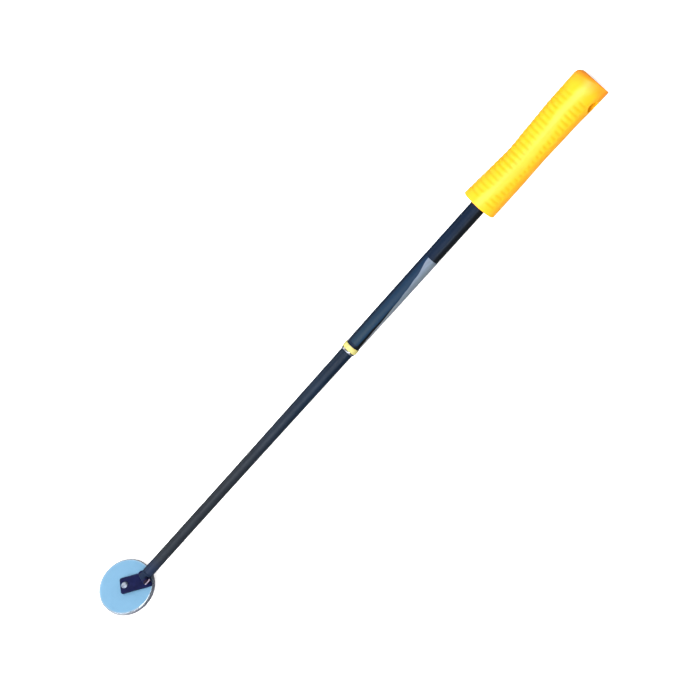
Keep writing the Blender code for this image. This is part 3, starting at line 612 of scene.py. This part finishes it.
def cup_metal():
    """Pale blue cup back with faint turning rings and hairlines, and a plainer grey side wall."""
    mat = Material("cup_metal", local=True)
    radius, z = mat.radius_and_z()
    ring_pitch = 0.00085
    rings = mat.math("SINE", mat.times(radius, 2 * math.pi / ring_pitch))
    wander = mat.noise(scale=90)
    hair = mat.vary(scale=700, detail=5, rough=0.8, stretch=(1, 0.12, 1), between=(0.63, 0.70))
    haze = mat.vary(scale=70, detail=4, rough=0.65, distortion=0.8, between=(0.35, 0.75))
    blue = mat.mix(haze, (0.146, 0.304, 0.464), (0.160, 0.322, 0.487))
    # painted highlight: a paler ring just inside the edge
    rim_sheen = mat.remap(radius, between=(0.0228, 0.0236), smooth=True)
    blue = mat.mix(mat.times(rim_sheen, 0.30), blue, (0.33, 0.47, 0.62))
    # bare metal round the rounded shoulder, made bright as a painted highlight along the rim
    bare_glint = mat.times(
        mat.remap(radius, between=(0.02375, 0.0242), smooth=True),
        mat.remap(z, between=(-0.0012, -0.0009)),
    )
    side = mat.math(
        "MAXIMUM",
        mat.remap(radius, between=(0.02475, 0.02495)),
        mat.remap(z, between=(-0.0009, -0.0013)),
    )
    lap = mat.vary(scale=1200, stretch=(0.05, 0.05, 1))
    wall = mat.mix(lap, (0.150, 0.158, 0.200), (0.205, 0.215, 0.262))
    colour = mat.mix(side, blue, wall)
    colour = mat.mix(bare_glint, colour, (0.78, 0.84, 0.90))
    base_rough = mat.remap(wander, between=(0.3, 0.7), to=(0.30, 0.37))
    mat.set(
        Base_Color=mat.mix(mat.times(hair, 0.06), colour, (0.60, 0.66, 0.72)),
        Metallic=mat.times(bare_glint, 0.62, plus=0.35),
        Roughness=mat.math(
            "ADD", base_rough, mat.times(hair, 0.05, plus=mat.times(bare_glint, -0.08))
        ),
    )
    mat.bump(mat.times(rings, 0.35, plus=wander), strength=0.05)
    return mat.mat


def silvered_glass():
    """Mirror glass with faint smears and a greener rim."""
    mat = Material("silvered_glass", local=True)
    radius, z = mat.radius_and_z()
    rim = mat.remap(radius, between=(0.0226, 0.0238))
    smear = mat.vary(
        scale=90, detail=5, rough=0.7, stretch=(1, 0.35, 1), distortion=1.2, between=(0.45, 0.75)
    )
    mat.set(
        Base_Color=mat.mix(rim, (0.90, 0.93, 0.94), (0.62, 0.78, 0.74)),
        Metallic=1.0,
        Roughness=mat.math("ADD", mat.times(smear, 0.045), 0.012),
        Coat_Weight=1.0,
        Coat_Roughness=0.02,
    )
    return mat.mat


def plain_grain(name, base, rough, scale=900, bump=0.15, metallic=0.0):
    """One colour with a fine grain."""
    mat = Material(name)
    rough_range = (rough * 0.85, min(1.0, rough * 1.15))
    mat.set(
        Base_Color=mat.shades(mat.vary(scale=scale * 0.25, detail=4), base, (0.88, 1.12)),
        Metallic=metallic,
        Roughness=mat.vary(scale=scale * 0.5, to=rough_range),
    )
    mat.bump(mat.noise(scale=scale, detail=4), strength=bump, depth=0.00006)
    return mat.mat


GRIP = grip_vinyl()
OUTER = tube_paint(
    "outer_tube_paint", base=(0.0016, 0.0080, 0.0240), scratches=0.05, shine=0.22,
    # side: painted shade round +Y
    side=(0.0042, 0.0055, 0.0075),
)
INNER = tube_paint(
    "inner_tube_paint", base=(0.0037, 0.0105, 0.0240), scratches=0.12, shine=0.30,
    # tip: painted sheen towards the far end
    tip=(0.0105, 0.0135, 0.0185),
)
LABEL = label_film()
COLLAR = collar_plastic()
BRIGHT = bright_metal("bright_nickel", base=(0.80, 0.80, 0.84), rough=(0.12, 0.26))
RIVET = bright_metal("rivet_nickel", base=(0.78, 0.86, 1.0), rough=(0.26, 0.42))
NAVY = dark_metal("bracket_lacquer", base=(0.0030, 0.0045, 0.0300), metallic=0.05)
# painted reflection: a blue tint standing in for a bluish sheen
BLACK = dark_metal("dark_steel_blue_sheen", base=(0.0070, 0.0140, 0.0340), metallic=0.12)
SLOTTED = slotted_steel()
CUP = cup_metal()
GLASS = silvered_glass()
NYLON = plain_grain("natural_nylon", base=(0.78, 0.76, 0.70), rough=0.5)
BLACK_NYLON = plain_grain("black_nylon", base=(0.012, 0.012, 0.013), rough=0.5)
RUBBER = plain_grain("black_rubber", base=(0.018, 0.018, 0.019), rough=0.8, scale=1400, bump=0.3)
FOAM = plain_grain("white_foam", base=(0.72, 0.71, 0.67), rough=0.95, scale=2200, bump=0.8)
BRONZE = plain_grain(
    "spring_bronze", base=(0.60, 0.37, 0.19), rough=0.32, scale=700, bump=0.1, metallic=1.0
)

# ------------------------------------------------------------------ grip
GRIP_LENGTH = 128.5
# x, radius on the spine, radius opposite it
STATIONS = (
    (0.0, 15.6, 13.9), (17.0, 15.2, 14.1), (33.0, 14.5, 14.1),
    (48.0, 14.3, 13.5), (63.0, 14.0, 12.9), (80.0, 14.1, 12.05),
    (93.0, 14.4, 12.8), (108.5, 14.4, 13.9), (128.5, 14.45, 15.25),
)
SPINE_ANGLE, SPINE_HALF = 20.0, 22.0  # degrees, from +Y towards +Z
RIDGE_HALF = 8.5
# x, degrees between the spine and the smooth ridge on either side of it
RIDGE_PATH = (
    (0.0, 50.0), (7.0, 56.0), (15.5, 70.0), (32.0, 75.0), (56.0, 59.0),
    (80.0, 49.0), (104.0, 60.0), (122.0, 75.0), (129.0, 77.0),
)
RIB_START, RIB_END, RIB_COUNT, RIB_DEPTH = 16.6, 123.0, 23, 0.5
RIB_PITCH = (RIB_END - RIB_START) / RIB_COUNT
BUTT_ROUND = 5.7  # length of the finely stepped butt end
FRONT_ROUND = 1.3  # edge radius at the tube's end
GRIP_AROUND = 144
BORE_R, BORE_BOTTOM = 6.52, 24.2
HOLE_X, HOLE_R = 15.8, 4.75
HOLE_STRAIGHT, HOLE_FLARE_DEPTH, HOLE_FLARE_R = 13.2, 2.9, 1.15
HOLE_TOOL_HALF = 24


def station(x, column):
    """A smooth curve through one column of the stations."""
    i = max(k for k in range(len(STATIONS) - 1) if STATIONS[k][0] <= x)
    here, after = STATIONS[i], STATIONS[i + 1]
    span = after[0] - here[0]
    part = (x - here[0]) / span

    def slope(k):
        low, high = STATIONS[max(k - 1, 0)], STATIONS[min(k + 1, len(STATIONS) - 1)]
        return (high[column] - low[column]) / (high[0] - low[0])

    return (
        (2 * part**3 - 3 * part**2 + 1) * here[column]
        + (part**3 - 2 * part**2 + part) * span * slope(i)
        + (-2 * part**3 + 3 * part**2) * after[column]
        + (part**3 - part**2) * span * slope(i + 1)
    )


def smooth(value, low, high):
    part = min(max((value - low) / (high - low), 0.0), 1.0)
    return part * part * (3 - 2 * part)


def ridge_at(x):
    for (x0, turn0), (x1, turn1) in zip(RIDGE_PATH, RIDGE_PATH[1:]):
        if x <= x1:
            return turn0 + (turn1 - turn0) * smooth(x, x0, x1)
    return RIDGE_PATH[-1][1]


def off_spine(angle):
    return abs((math.degrees(angle) - SPINE_ANGLE + 180) % 360 - 180)


def valley_depth(x, angle):
    """0 on the ribs' crests, the spine and the ridges, 1 in the bottom of a valley."""
    if not RIB_START < x < RIB_END:
        return 0.0
    off = off_spine(angle)
    wave = 0.5 - 0.5 * math.cos(2 * math.pi * (x - RIB_START) / RIB_PITCH)
    beyond_spine = smooth(off, SPINE_HALF, SPINE_HALF + 6)
    weight = beyond_spine * smooth(abs(off - ridge_at(x)), RIDGE_HALF, RIDGE_HALF + 14)
    return wave**1.5 * weight * (0.65 + 0.35 * smooth(x, RIB_START - 1, RIB_START + 9))


def round_drop(radius, inset):
    """How far an edge round falls below its tangent, inset past where it starts."""
    return radius - math.sqrt(max(radius**2 - inset**2, 0.0))


def grip_radius(x, angle):
    off = off_spine(angle)
    spine, opposite = station(x, 1), station(x, 2)
    side = math.cos(math.radians(off))
    radius = (spine + opposite) / 2 + (spine - opposite) / 2 * side
    radius -= RIB_DEPTH * 0.66 * valley_depth(x, angle)
    # the butt's round grows from almost none at the spine to its largest opposite it
    butt = 0.4 + 5.3 * smooth(off, 12, 120)
    if x < butt:
        radius -= round_drop(butt, butt - x)
    if x > GRIP_LENGTH - FRONT_ROUND:
        radius -= round_drop(FRONT_ROUND, x - GRIP_LENGTH + FRONT_ROUND)
    return radius


def grip_solid():
    rows = [BUTT_ROUND * (1 - math.cos(math.pi / 2 * k / 18)) for k in range(1, 19)]
    rows += [6.8, 8.5, 10.5, 12.5, 14.5, 16.4]
    rows += [RIB_START + RIB_PITCH * k / 9 for k in range(RIB_COUNT * 9 + 1)]
    rows += [123.8, 124.8, 125.9, 126.8]
    front = GRIP_LENGTH - FRONT_ROUND
    rows += [front + FRONT_ROUND * math.sin(math.pi / 2 * k / 6) for k in range(7)]
    # x, radius, from the mouth inwards
    bore = (
        (GRIP_LENGTH, BORE_R + 0.45), (GRIP_LENGTH - 0.13, BORE_R + 0.13),
        (GRIP_LENGTH - 0.45, BORE_R), (110.0, BORE_R), (BORE_BOTTOM, BORE_R),
    )
    solid = bmesh.new()

    def ring(x, share=1.0, radius=None):
        verts = []
        for i in range(GRIP_AROUND):
            angle = 2 * math.pi * i / GRIP_AROUND
            reach = radius or grip_radius(x, angle) * share
            place = (x, reach * math.cos(angle), reach * math.sin(angle))
            verts.append(solid.verts.new(place))
        return verts

    def skin(loop, rings):
        for new in rings:
            for i in range(GRIP_AROUND):
                j = (i + 1) % GRIP_AROUND
                solid.faces.new((loop[i], loop[j], new[j], new[i]))
            loop = new
        return loop

    def fan(loop, x):
        middle = solid.verts.new((x, 0, 0))
        for i in range(GRIP_AROUND):
            solid.faces.new((loop[i], loop[(i + 1) % GRIP_AROUND], middle))

    # flat butt, drawn in with a few rings so it shades evenly
    butt_edge = ring(0.0)
    fan(skin(butt_edge, (ring(0.0, share=share) for share in (0.8, 0.5, 0.2))), 0.0)
    mouth = skin(butt_edge, (ring(x) for x in rows))
    fan(skin(mouth, (ring(x, radius=radius) for x, radius in bore)), BORE_BOTTOM)
    return solid


def hole_tool():
    """The cross hole, straight in the middle with both mouths flared."""
    half = []
    for k in range(9):
        part = k / 8
        widening = HOLE_FLARE_R * (1 - math.sqrt(1 - (part * 0.97) ** 2))
        half.append((HOLE_STRAIGHT + HOLE_FLARE_DEPTH * part, HOLE_R + widening, 0))
    half += [(HOLE_TOOL_HALF, half[-1][1], 0), (HOLE_TOOL_HALF, 0, 0)]
    mirrored = [(-along, radius, fillet) for along, radius, fillet in reversed(half)]
    return lathe(mirrored + half, axis="Z", steps=72)


def ridge_crest(x, y, z):
    return smooth(abs(off_spine(math.atan2(z, y)) - ridge_at(x)), 22, 3)


hole_frame = shift(HOLE_X) @ Matrix.Rotation(math.radians(SPINE_ANGLE), 4, "X") @ Z_TO_Y
piece(
    "moulded_grip", grip_solid(), GRIP, body="handle", node="grip",
    cuts=[("DIFFERENCE", hole_tool(), hole_frame)], sharp=48,
    paint={
        "valley": lambda x, y, z: valley_depth(x, math.atan2(z, y)),
        "spine": lambda x, y, z: smooth(off_spine(math.atan2(z, y)), 30, 18),
        "crest": ridge_crest,
    },
)

# ------------------------------------------------------------------ tubes and mouth
# All profiles from here on list (along, radius, fillet) corners.
OUTER_R, OUTER_MOUTH_R, OUTER_BORE_R = 6.4, 5.98, 5.65
OUTER_START, TAPER_START, OUTER_END = 26.0, 150.0, 281.6
INNER_END, INNER_R, INNER_BORE_R = 547.0, 4.80, 4.2
INNER_TAIL_R, INNER_SLIDE_R = 4.9, 5.40
PIN_X, PIN_HOLE_R = 539.5, 0.95  # cross hole through inner tube and knuckle


def outer_radius(x):
    """The outer tube's radius on its taper."""
    part = (x - TAPER_START) / (OUTER_END - TAPER_START)
    return OUTER_R + (OUTER_MOUTH_R - OUTER_R) * part


def pin_cut():
    return ("DIFFERENCE", rod(PIN_HOLE_R, -7, 7, steps=32), shift(PIN_X))


taper_end = OUTER_END - 1.0
outer_wall = [
    (OUTER_START + 1.0, OUTER_R), (TAPER_START, OUTER_R), (taper_end, outer_radius(taper_end)),
]
outer_profile = [
    (OUTER_START, OUTER_BORE_R, 0), (OUTER_START, OUTER_R, 0.15),
    *graded(outer_wall, parts=12),
    (OUTER_END, OUTER_MOUTH_R, 0.12), (OUTER_END, OUTER_BORE_R, 0.05),
]
piece(
    "painted_outer_tube", lathe(outer_profile, closed=True, fillet_steps=3), OUTER,
    body="handle", node="outer_tube",
)

FILM_UNDER, FILM_OVER = 0.03, 0.13  # the film's two faces above the tube
film_start, film_end = outer_radius(LABEL_START), outer_radius(LABEL_END)
film_wall = [(x, outer_radius(x) + FILM_OVER) for x in (LABEL_START + 0.3, LABEL_END - 0.3)]
label_profile = [
    (LABEL_START, film_start + FILM_UNDER, 0), (LABEL_START, film_start + FILM_OVER, 0.04),
    *graded(film_wall),
    (LABEL_END, film_end + FILM_OVER, 0.04), (LABEL_END, film_end + FILM_UNDER, 0),
]
piece(
    "printed_label", lathe(label_profile, closed=True, fillet_steps=2), LABEL,
    body="handle", node="label_wrap",
)

collar_profile = [
    (279.0, 6.06, 0.08), (279.0, 6.58, 0.22), (279.9, 6.66, 0.5),
    (282.6, 6.66, 0.5), (283.5, 6.58, 0.22), (283.5, 6.06, 0.08),
]
piece(
    "yellow_collar", lathe(collar_profile, closed=True), COLLAR,
    body="handle", node="collar_ring",
)

ferrule_profile = [
    (281.9, 5.48, 0.05), (281.9, 5.95, 0.1), (283.75, 5.95, 0.02),
    (283.75, 6.2, 0.10), (285.4, 6.2, 0.55), (285.4, 5.48, 0.12),
]
piece(
    "bright_ferrule", lathe(ferrule_profile, closed=True, fillet_steps=5), BRIGHT,
    body="handle", node="mouth_ferrule",
)

inner_wall = [(281.0, INNER_SLIDE_R), (286.0, INNER_SLIDE_R), (430.0, INNER_R), (546.5, INNER_R)]
inner_profile = [
    (262.3, INNER_BORE_R, 0), (262.3, INNER_TAIL_R, 0.1),
    (279.8, INNER_TAIL_R, 0), (280.2, INNER_SLIDE_R, 0),
    *graded(inner_wall),
    (INNER_END, INNER_R, 0.15), (INNER_END, INNER_BORE_R, 0.08),
]
piece(
    "painted_inner_tube", lathe(inner_profile, closed=True, fillet_steps=3), INNER,
    body="stage", node="inner_tube", cuts=[pin_cut()],
)

# ------------------------------------------------------------------ knuckle: plug, collar, tongue
pivot_x = pivot.x / MM
TONGUE_R, TONGUE_HALF = 3.2, 2.9
knuckle_profile = [
    (532.5 - pivot_x, 0, 0), (532.5 - pivot_x, 4.05, 0.5), (547.3 - pivot_x, 4.05, 0.05),
    (547.3 - pivot_x, 4.8, 0.15), (-4.75, 4.8, 0.7), (-3.9, 3.1, 0.35), (-3.9, 0, 0),
]
tongue = [(-6.0, -TONGUE_R), *arc(0, 0, TONGUE_R, -90, 90, 40), (-6.0, TONGUE_R)]
piece(
    "forged_knuckle", lathe(knuckle_profile, fillet_steps=5), BLACK,
    body="stage", node="tip_knuckle", at=KNUCKLE,
    cuts=[
        ("UNION", extruded(tongue, -TONGUE_HALF, TONGUE_HALF, "XZ"), KNUCKLE),
        ("DIFFERENCE", rod(1.65, -8, 8), KNUCKLE),
        pin_cut(),
    ],
    bevel=0.22,
)

# ------------------------------------------------------------------ yoke: U of two ears on a round base
base_low, base_high = 3.2 - HEIGHT, 4.4 - HEIGHT
EAR_R, EAR_INNER, EAR_OUTER, EAR_TOP = 3.4, 3.4, 4.8, 4.4
yoke_section = [  # y, z
    (-EAR_OUTER, base_low), (EAR_OUTER, base_low), (EAR_OUTER, EAR_TOP), (EAR_INNER, EAR_TOP),
    (EAR_INNER, base_high), (-EAR_INNER, base_high), (-EAR_INNER, EAR_TOP), (-EAR_OUTER, EAR_TOP),
]
ear_outline = [(-EAR_R, base_low - 1), (EAR_R, base_low - 1), *arc(0, 0, EAR_R, 0, 180, 40)]
base_disc = [(base_low, 0, 0), (base_low, 4.2, 0), (base_high, 4.2, 0), (base_high, 0, 0)]
countersink = [
    (base_low - 1, 0, 0), (base_low - 1, 1.75, 0), (base_low + 0.15, 1.75, 0),
    (base_high + 0.05, 2.95, 0), (base_high + 0.15, 2.95, 0), (base_high + 0.15, 0, 0),
]
piece(
    "riveted_yoke", extruded(yoke_section, -EAR_R, EAR_R, "YZ"), NAVY,
    body="yoke", node="swivel_yoke", at=TILT,
    cuts=[
        ("INTERSECT", extruded(ear_outline, -5.8, 5.8, "XZ"), TILT),
        ("UNION", lathe(base_disc, "Z", steps=64), TILT),
        ("DIFFERENCE", rod(1.6, -8, 8), TILT),
        ("DIFFERENCE", lathe(countersink, "Z", steps=48), TILT),
    ],
    bevel=0.16,
)

# ------------------------------------------------------------------ pins and rivets
cross_pin_profile = [
    (-5.75, 0, 0), (-5.75, 2.2, 0.55), (-4.88, 2.4, 0.1), (-4.88, 1.5, 0.05),
    (4.88, 1.5, 0.05), (4.88, 3.2, 0.12), (6.1, 3.2, 0.45), (6.2, 0, 0),
]
slot_outline = [(-5, -0.6), (5, -0.6), (5, 0.6), (-5, 0.6)]
piece(
    "slotted_cross_pin", lathe(cross_pin_profile, "Z", steps=72, fillet_steps=5), SLOTTED,
    body="yoke", node="cross_pin", at=TILT @ Z_TO_Y,
    cuts=[("DIFFERENCE", extruded(slot_outline, 5.3, 9.0, "XZ"), KNUCKLE)],
    bevel=0.08, shade_frame=KNUCKLE,
)

centre_rivet_profile = [
    (-1.45, 0, 0), (-1.45, 2.9, 0.3), (-0.88, 3.1, 0.12), (-0.88, 1.9, 0.05),
    (2.75, 1.9, 0.05), (2.75, 3.05, 0.15), (3.3, 3.05, 0.6), (4.15, 2.0, 1.8), (4.3, 0, 0),
]
piece(
    "domed_centre_rivet", lathe(centre_rivet_profile, "Z", steps=72, fillet_steps=7), RIVET,
    body="bracket", node="centre_rivet", at=CENTRE_RIVET,
)

yoke_rivet_profile = [
    (0.45, 0, 0), (0.45, 2.7, 0.28), (1.12, 2.9, 0.1), (1.12, 1.6, 0.04),
    (3.5, 1.6, 0), (4.35, 2.72, 0.06), (4.35, 0, 0),
]
piece(
    "countersunk_rivet", lathe(yoke_rivet_profile, "Z", steps=64, fillet_steps=3), BRIGHT,
    body="bracket", node="yoke_rivet", at=SWIVEL,
)

# ------------------------------------------------------------------ bracket plate
CORNER_R, PLATE_HALF = 1.6, 7.2
PLATE_LOW, PLATE_HIGH = 1.2, 2.7
corner_y = PLATE_HALF - CORNER_R
corner_left, corner_right = REACH - 24.0 + CORNER_R, REACH + 4.2 - CORNER_R
corners = (
    (corner_right, corner_y), (corner_left, corner_y),
    (corner_left, -corner_y), (corner_right, -corner_y),
)
plate_outline = []
for k, (x, y) in enumerate(corners):
    plate_outline += arc(x, y, CORNER_R, 90 * k, 90 * k + 90, 12)
piece(
    "stamped_bracket", extruded(plate_outline, PLATE_LOW, PLATE_HIGH), NAVY,
    body="bracket", node="bracket_plate", at=SWIVEL,
    cuts=[
        ("DIFFERENCE", rod(1.72, -2, 6, "Z"), SWIVEL),
        ("DIFFERENCE", rod(2.02, -2, 6, "Z"), CENTRE_RIVET),
    ],
    bevel=0.22,
)

# ------------------------------------------------------------------ mirror
cup_profile = [
    (0, 2.15, 0.06), (0, 12.0, 0), (0, 25.0, 1.15), (-3.7, 25.0, 0.25),
    (-3.9, 24.86, 0.2), (-4.1, 25.0, 0.15), (-4.5, 25.0, 0.22), (-4.5, 23.35, 0.18),
    (-4.0, 23.35, 0.08), (-4.0, 24.2, 0.05), (-0.8, 24.2, 0.35), (-0.8, 2.15, 0.06),
]
piece(
    "pressed_cup", lathe(cup_profile, "Z", closed=True, steps=192, fillet_steps=6), CUP,
    body="mirror", node="mirror_cup", at=MIRROR,
)

mirror_profile = [
    (-1.85, 0, 0), (-1.85, 23.8, 0.1), (-3.2, 23.8, 0.05), (-3.9, 22.3, 0.05), (-3.9, 0, 0),
]
piece(
    "round_mirror", lathe(mirror_profile, "Z", steps=192, fillet_steps=3), GLASS,
    body="mirror", node="glass_mirror", at=MIRROR,
)

# ------------------------------------------------------------------ finishes on the CAD nodes that stay
for node, mat in {
    "tube_end_plug": NYLON,
    "end_bumper": RUBBER,
    "friction_sleeve": NYLON,
    "friction_spring": BRONZE,
    "tail_plug": NYLON,
    "knuckle_spring_pin": BLACK,
    "friction_washer_left": BLACK_NYLON,
    "friction_washer_right": BLACK_NYLON,
    "yoke_washer": BRIGHT,
    "wave_washer": BRIGHT,
    "adhesive_pad": FOAM,
}.items():
    mesh = product["nodes"][node].data
    mesh.materials.clear()
    mesh.materials.append(mat)


# ------------------------------------------------------------------ floor, just below grip and cup
def lowest(node):
    return min((v.co.copy() for v in product["nodes"][node].data.vertices), key=lambda p: p.z)


def floor_paper():
    """Pale paper that glows a little to the camera and is clear from underneath."""
    mat = Material("floor_paper")

    def ray(kind):
        return mat.add("ShaderNodeLightPath").outputs[kind]

    tone = mat.noise(scale=3, detail=2, rough=0.55)
    paper = mat.mix(tone, (0.90, 0.90, 0.90), (0.92, 0.92, 0.92))
    mat.set(
        # bounced light sees a darker sheet
        Base_Color=mat.mix(ray("Is Diffuse Ray"), paper, (0.60, 0.60, 0.60)),
        Roughness=0.9,
        Specular_IOR_Level=0.0,
        Emission_Color=(1.0, 1.0, 1.0),
        Emission_Strength=mat.times(ray("Is Camera Ray"), 0.38),
    )
    clear = mat.add("ShaderNodeBsdfTransparent").outputs[0]
    backfacing = mat.add("ShaderNodeNewGeometry").outputs["Backfacing"]
    from_below = mat.times(backfacing, ray("Is Camera Ray"))
    sheet = mat.mix_shaders(from_below, mat.bsdf.outputs[0], clear)
    mat.put(mat.tree.nodes["Material Output"].inputs["Surface"], sheet)
    return mat.mat


FLOOR_HALF, FLOOR_GAP = 3.0, 0.0015
grip_low, cup_low = lowest("grip"), lowest("mirror_cup")
slope = math.atan2(cup_low.z - grip_low.z, cup_low.x - grip_low.x)
sheet = bmesh.new()
bmesh.ops.create_grid(sheet, x_segments=8, y_segments=8, size=FLOOR_HALF)
floor_place = Matrix.Translation(grip_low + Vector((0, 0, -FLOOR_GAP)))
floor = mesh_object("studio_floor", sheet, floor_place @ Matrix.Rotation(-slope, 4, "Y"))
floor.data.materials.append(floor_paper())
floor.visible_glossy = False


# ------------------------------------------------------------------ world
def tinted(stops, tint):
    """Ramp stops from (position, brightness) pairs."""
    return [(at, tuple(level * part for part in tint)) for at, level in stops]


def build_world():
    world = bpy.data.worlds.new("studio")
    bpy.context.scene.world = world
    world.use_nodes = True
    world.node_tree.nodes.clear()
    sky = Graph(world.node_tree)
    output = sky.add("ShaderNodeOutputWorld")
    sky.coords = sky.add("ShaderNodeTexCoord").outputs["Generated"]
    rays = sky.add("ShaderNodeLightPath").outputs
    x, y, z = sky.split()

    def background(colour):
        node = sky.add("ShaderNodeBackground")
        sky.put(node.inputs["Color"], colour)
        node.inputs["Strength"].default_value = 1.0
        return node.outputs[0]

    upward = sky.times(z, 0.5, plus=0.5)
    along = sky.times(x, 0.5, plus=0.5)
    # diffuse light: darker behind the butt than beyond the mirror
    room = sky.ramp(along, tinted([(0.12, 0.32), (0.80, 1.32)], tint=(1, 0.985, 0.97)))
    # reflections: a dim room with a bright wall beyond the tool's tip
    dim = sky.ramp(upward, tinted([(0.45, 0.09), (1.0, 0.14)], tint=(0.85, 0.95, 1.1)))
    wall = sky.ramp(along, tinted([(0.74, 0.0), (0.94, 0.85)], tint=(0.94, 0.98, 1)))
    reflected = sky.mix(1.0, dim, wall, blend="ADD")
    lit = sky.mix_shaders(rays["Is Glossy Ray"], background(room), background(reflected))
    # the camera sees plain white
    final = sky.mix_shaders(rays["Is Camera Ray"], lit, background((1, 1, 1)))
    sky.put(output.inputs[0], final)


build_world()


# ------------------------------------------------------------------ lights
def softbox(name, at, target, size, radiance, colour=(1, 1, 1), along=(1, 0, 0), reflected=True):
    """A rectangular light with its long side along a direction; radiance is its look face on.
    A reflected one shows only in reflections, any other lights only diffusely."""
    data = bpy.data.lights.new(name, "AREA")
    data.shape = "RECTANGLE"
    data.size, data.size_y = size
    data.energy = radiance * math.pi * size[0] * size[1]
    data.color = colour
    at, target = Vector(at), Vector(target)
    z = (at - target).normalized()
    x = Vector(along) - z * Vector(along).dot(z)
    x.normalize()
    obj = linked(name, data, frame_at(at, x, z.cross(x), z))
    obj.visible_glossy = reflected
    obj.visible_diffuse = not reflected
    obj.visible_camera = False


softbox(
    "key_soft", at=(0.58, -0.22, 1.29), target=(0.28, 0, 0), size=(1.5, 1.0),
    radiance=9.5, colour=(1.0, 0.99, 0.97), reflected=False,
)
softbox(
    "tube_strip", at=(0.77, 0.11, 1.22), target=(0.34, 0, 0), size=(2.4, 0.21),
    radiance=2.9, colour=(0.86, 0.94, 1.06), along=(0.307, -0.952, 0),
)
softbox(
    "grip_strip", at=(-0.02, -0.03, 1.35), target=(0.06, 0, 0), size=(0.28, 0.40), radiance=5.0
)
softbox(
    "mouth_strip", at=(0.37, 0.78, 1.22), target=(0.20, 0, 0), size=(0.34, 0.24),
    radiance=5.2, colour=(0.90, 0.96, 1.04),
)
softbox(
    "side_card", at=(0.70, -1.10, 0.24), target=(0.34, 0, 0), size=(1.2, 0.36),
    radiance=1.2, colour=(1.0, 0.99, 0.97),
)
softbox("rim_card", at=(-0.05, -0.30, 1.05), target=centre, size=(0.45, 0.45), radiance=3.6)
softbox(
    "cup_card", at=centre + Vector((-0.235, -0.866, 0.446)), target=centre, size=(0.9, 0.7),
    radiance=0.35, colour=(0.97, 0.99, 1.0),
)

# ------------------------------------------------------------------ camera
CAMERA_PLACE = Vector((-0.00103, 0.02274, 1.08813))
right = Vector((-0.64820674, 0.73880894, -0.18436207)).normalized()
up = Vector((-0.71825273, -0.67363204, -0.17416337)).normalized()
back = right.cross(up).normalized()
up = back.cross(right).normalized()
camera_data = bpy.data.cameras.new("camera")
camera_data.sensor_width = 36.0
camera_data.lens = 72.0
camera_data.clip_start = 0.01
camera_data.clip_end = 20.0
scene = bpy.context.scene
scene.camera = linked("camera", camera_data, frame_at(CAMERA_PLACE, right, up, back))
scene.view_settings.view_transform = "Standard"
scene.view_settings.look = "None"
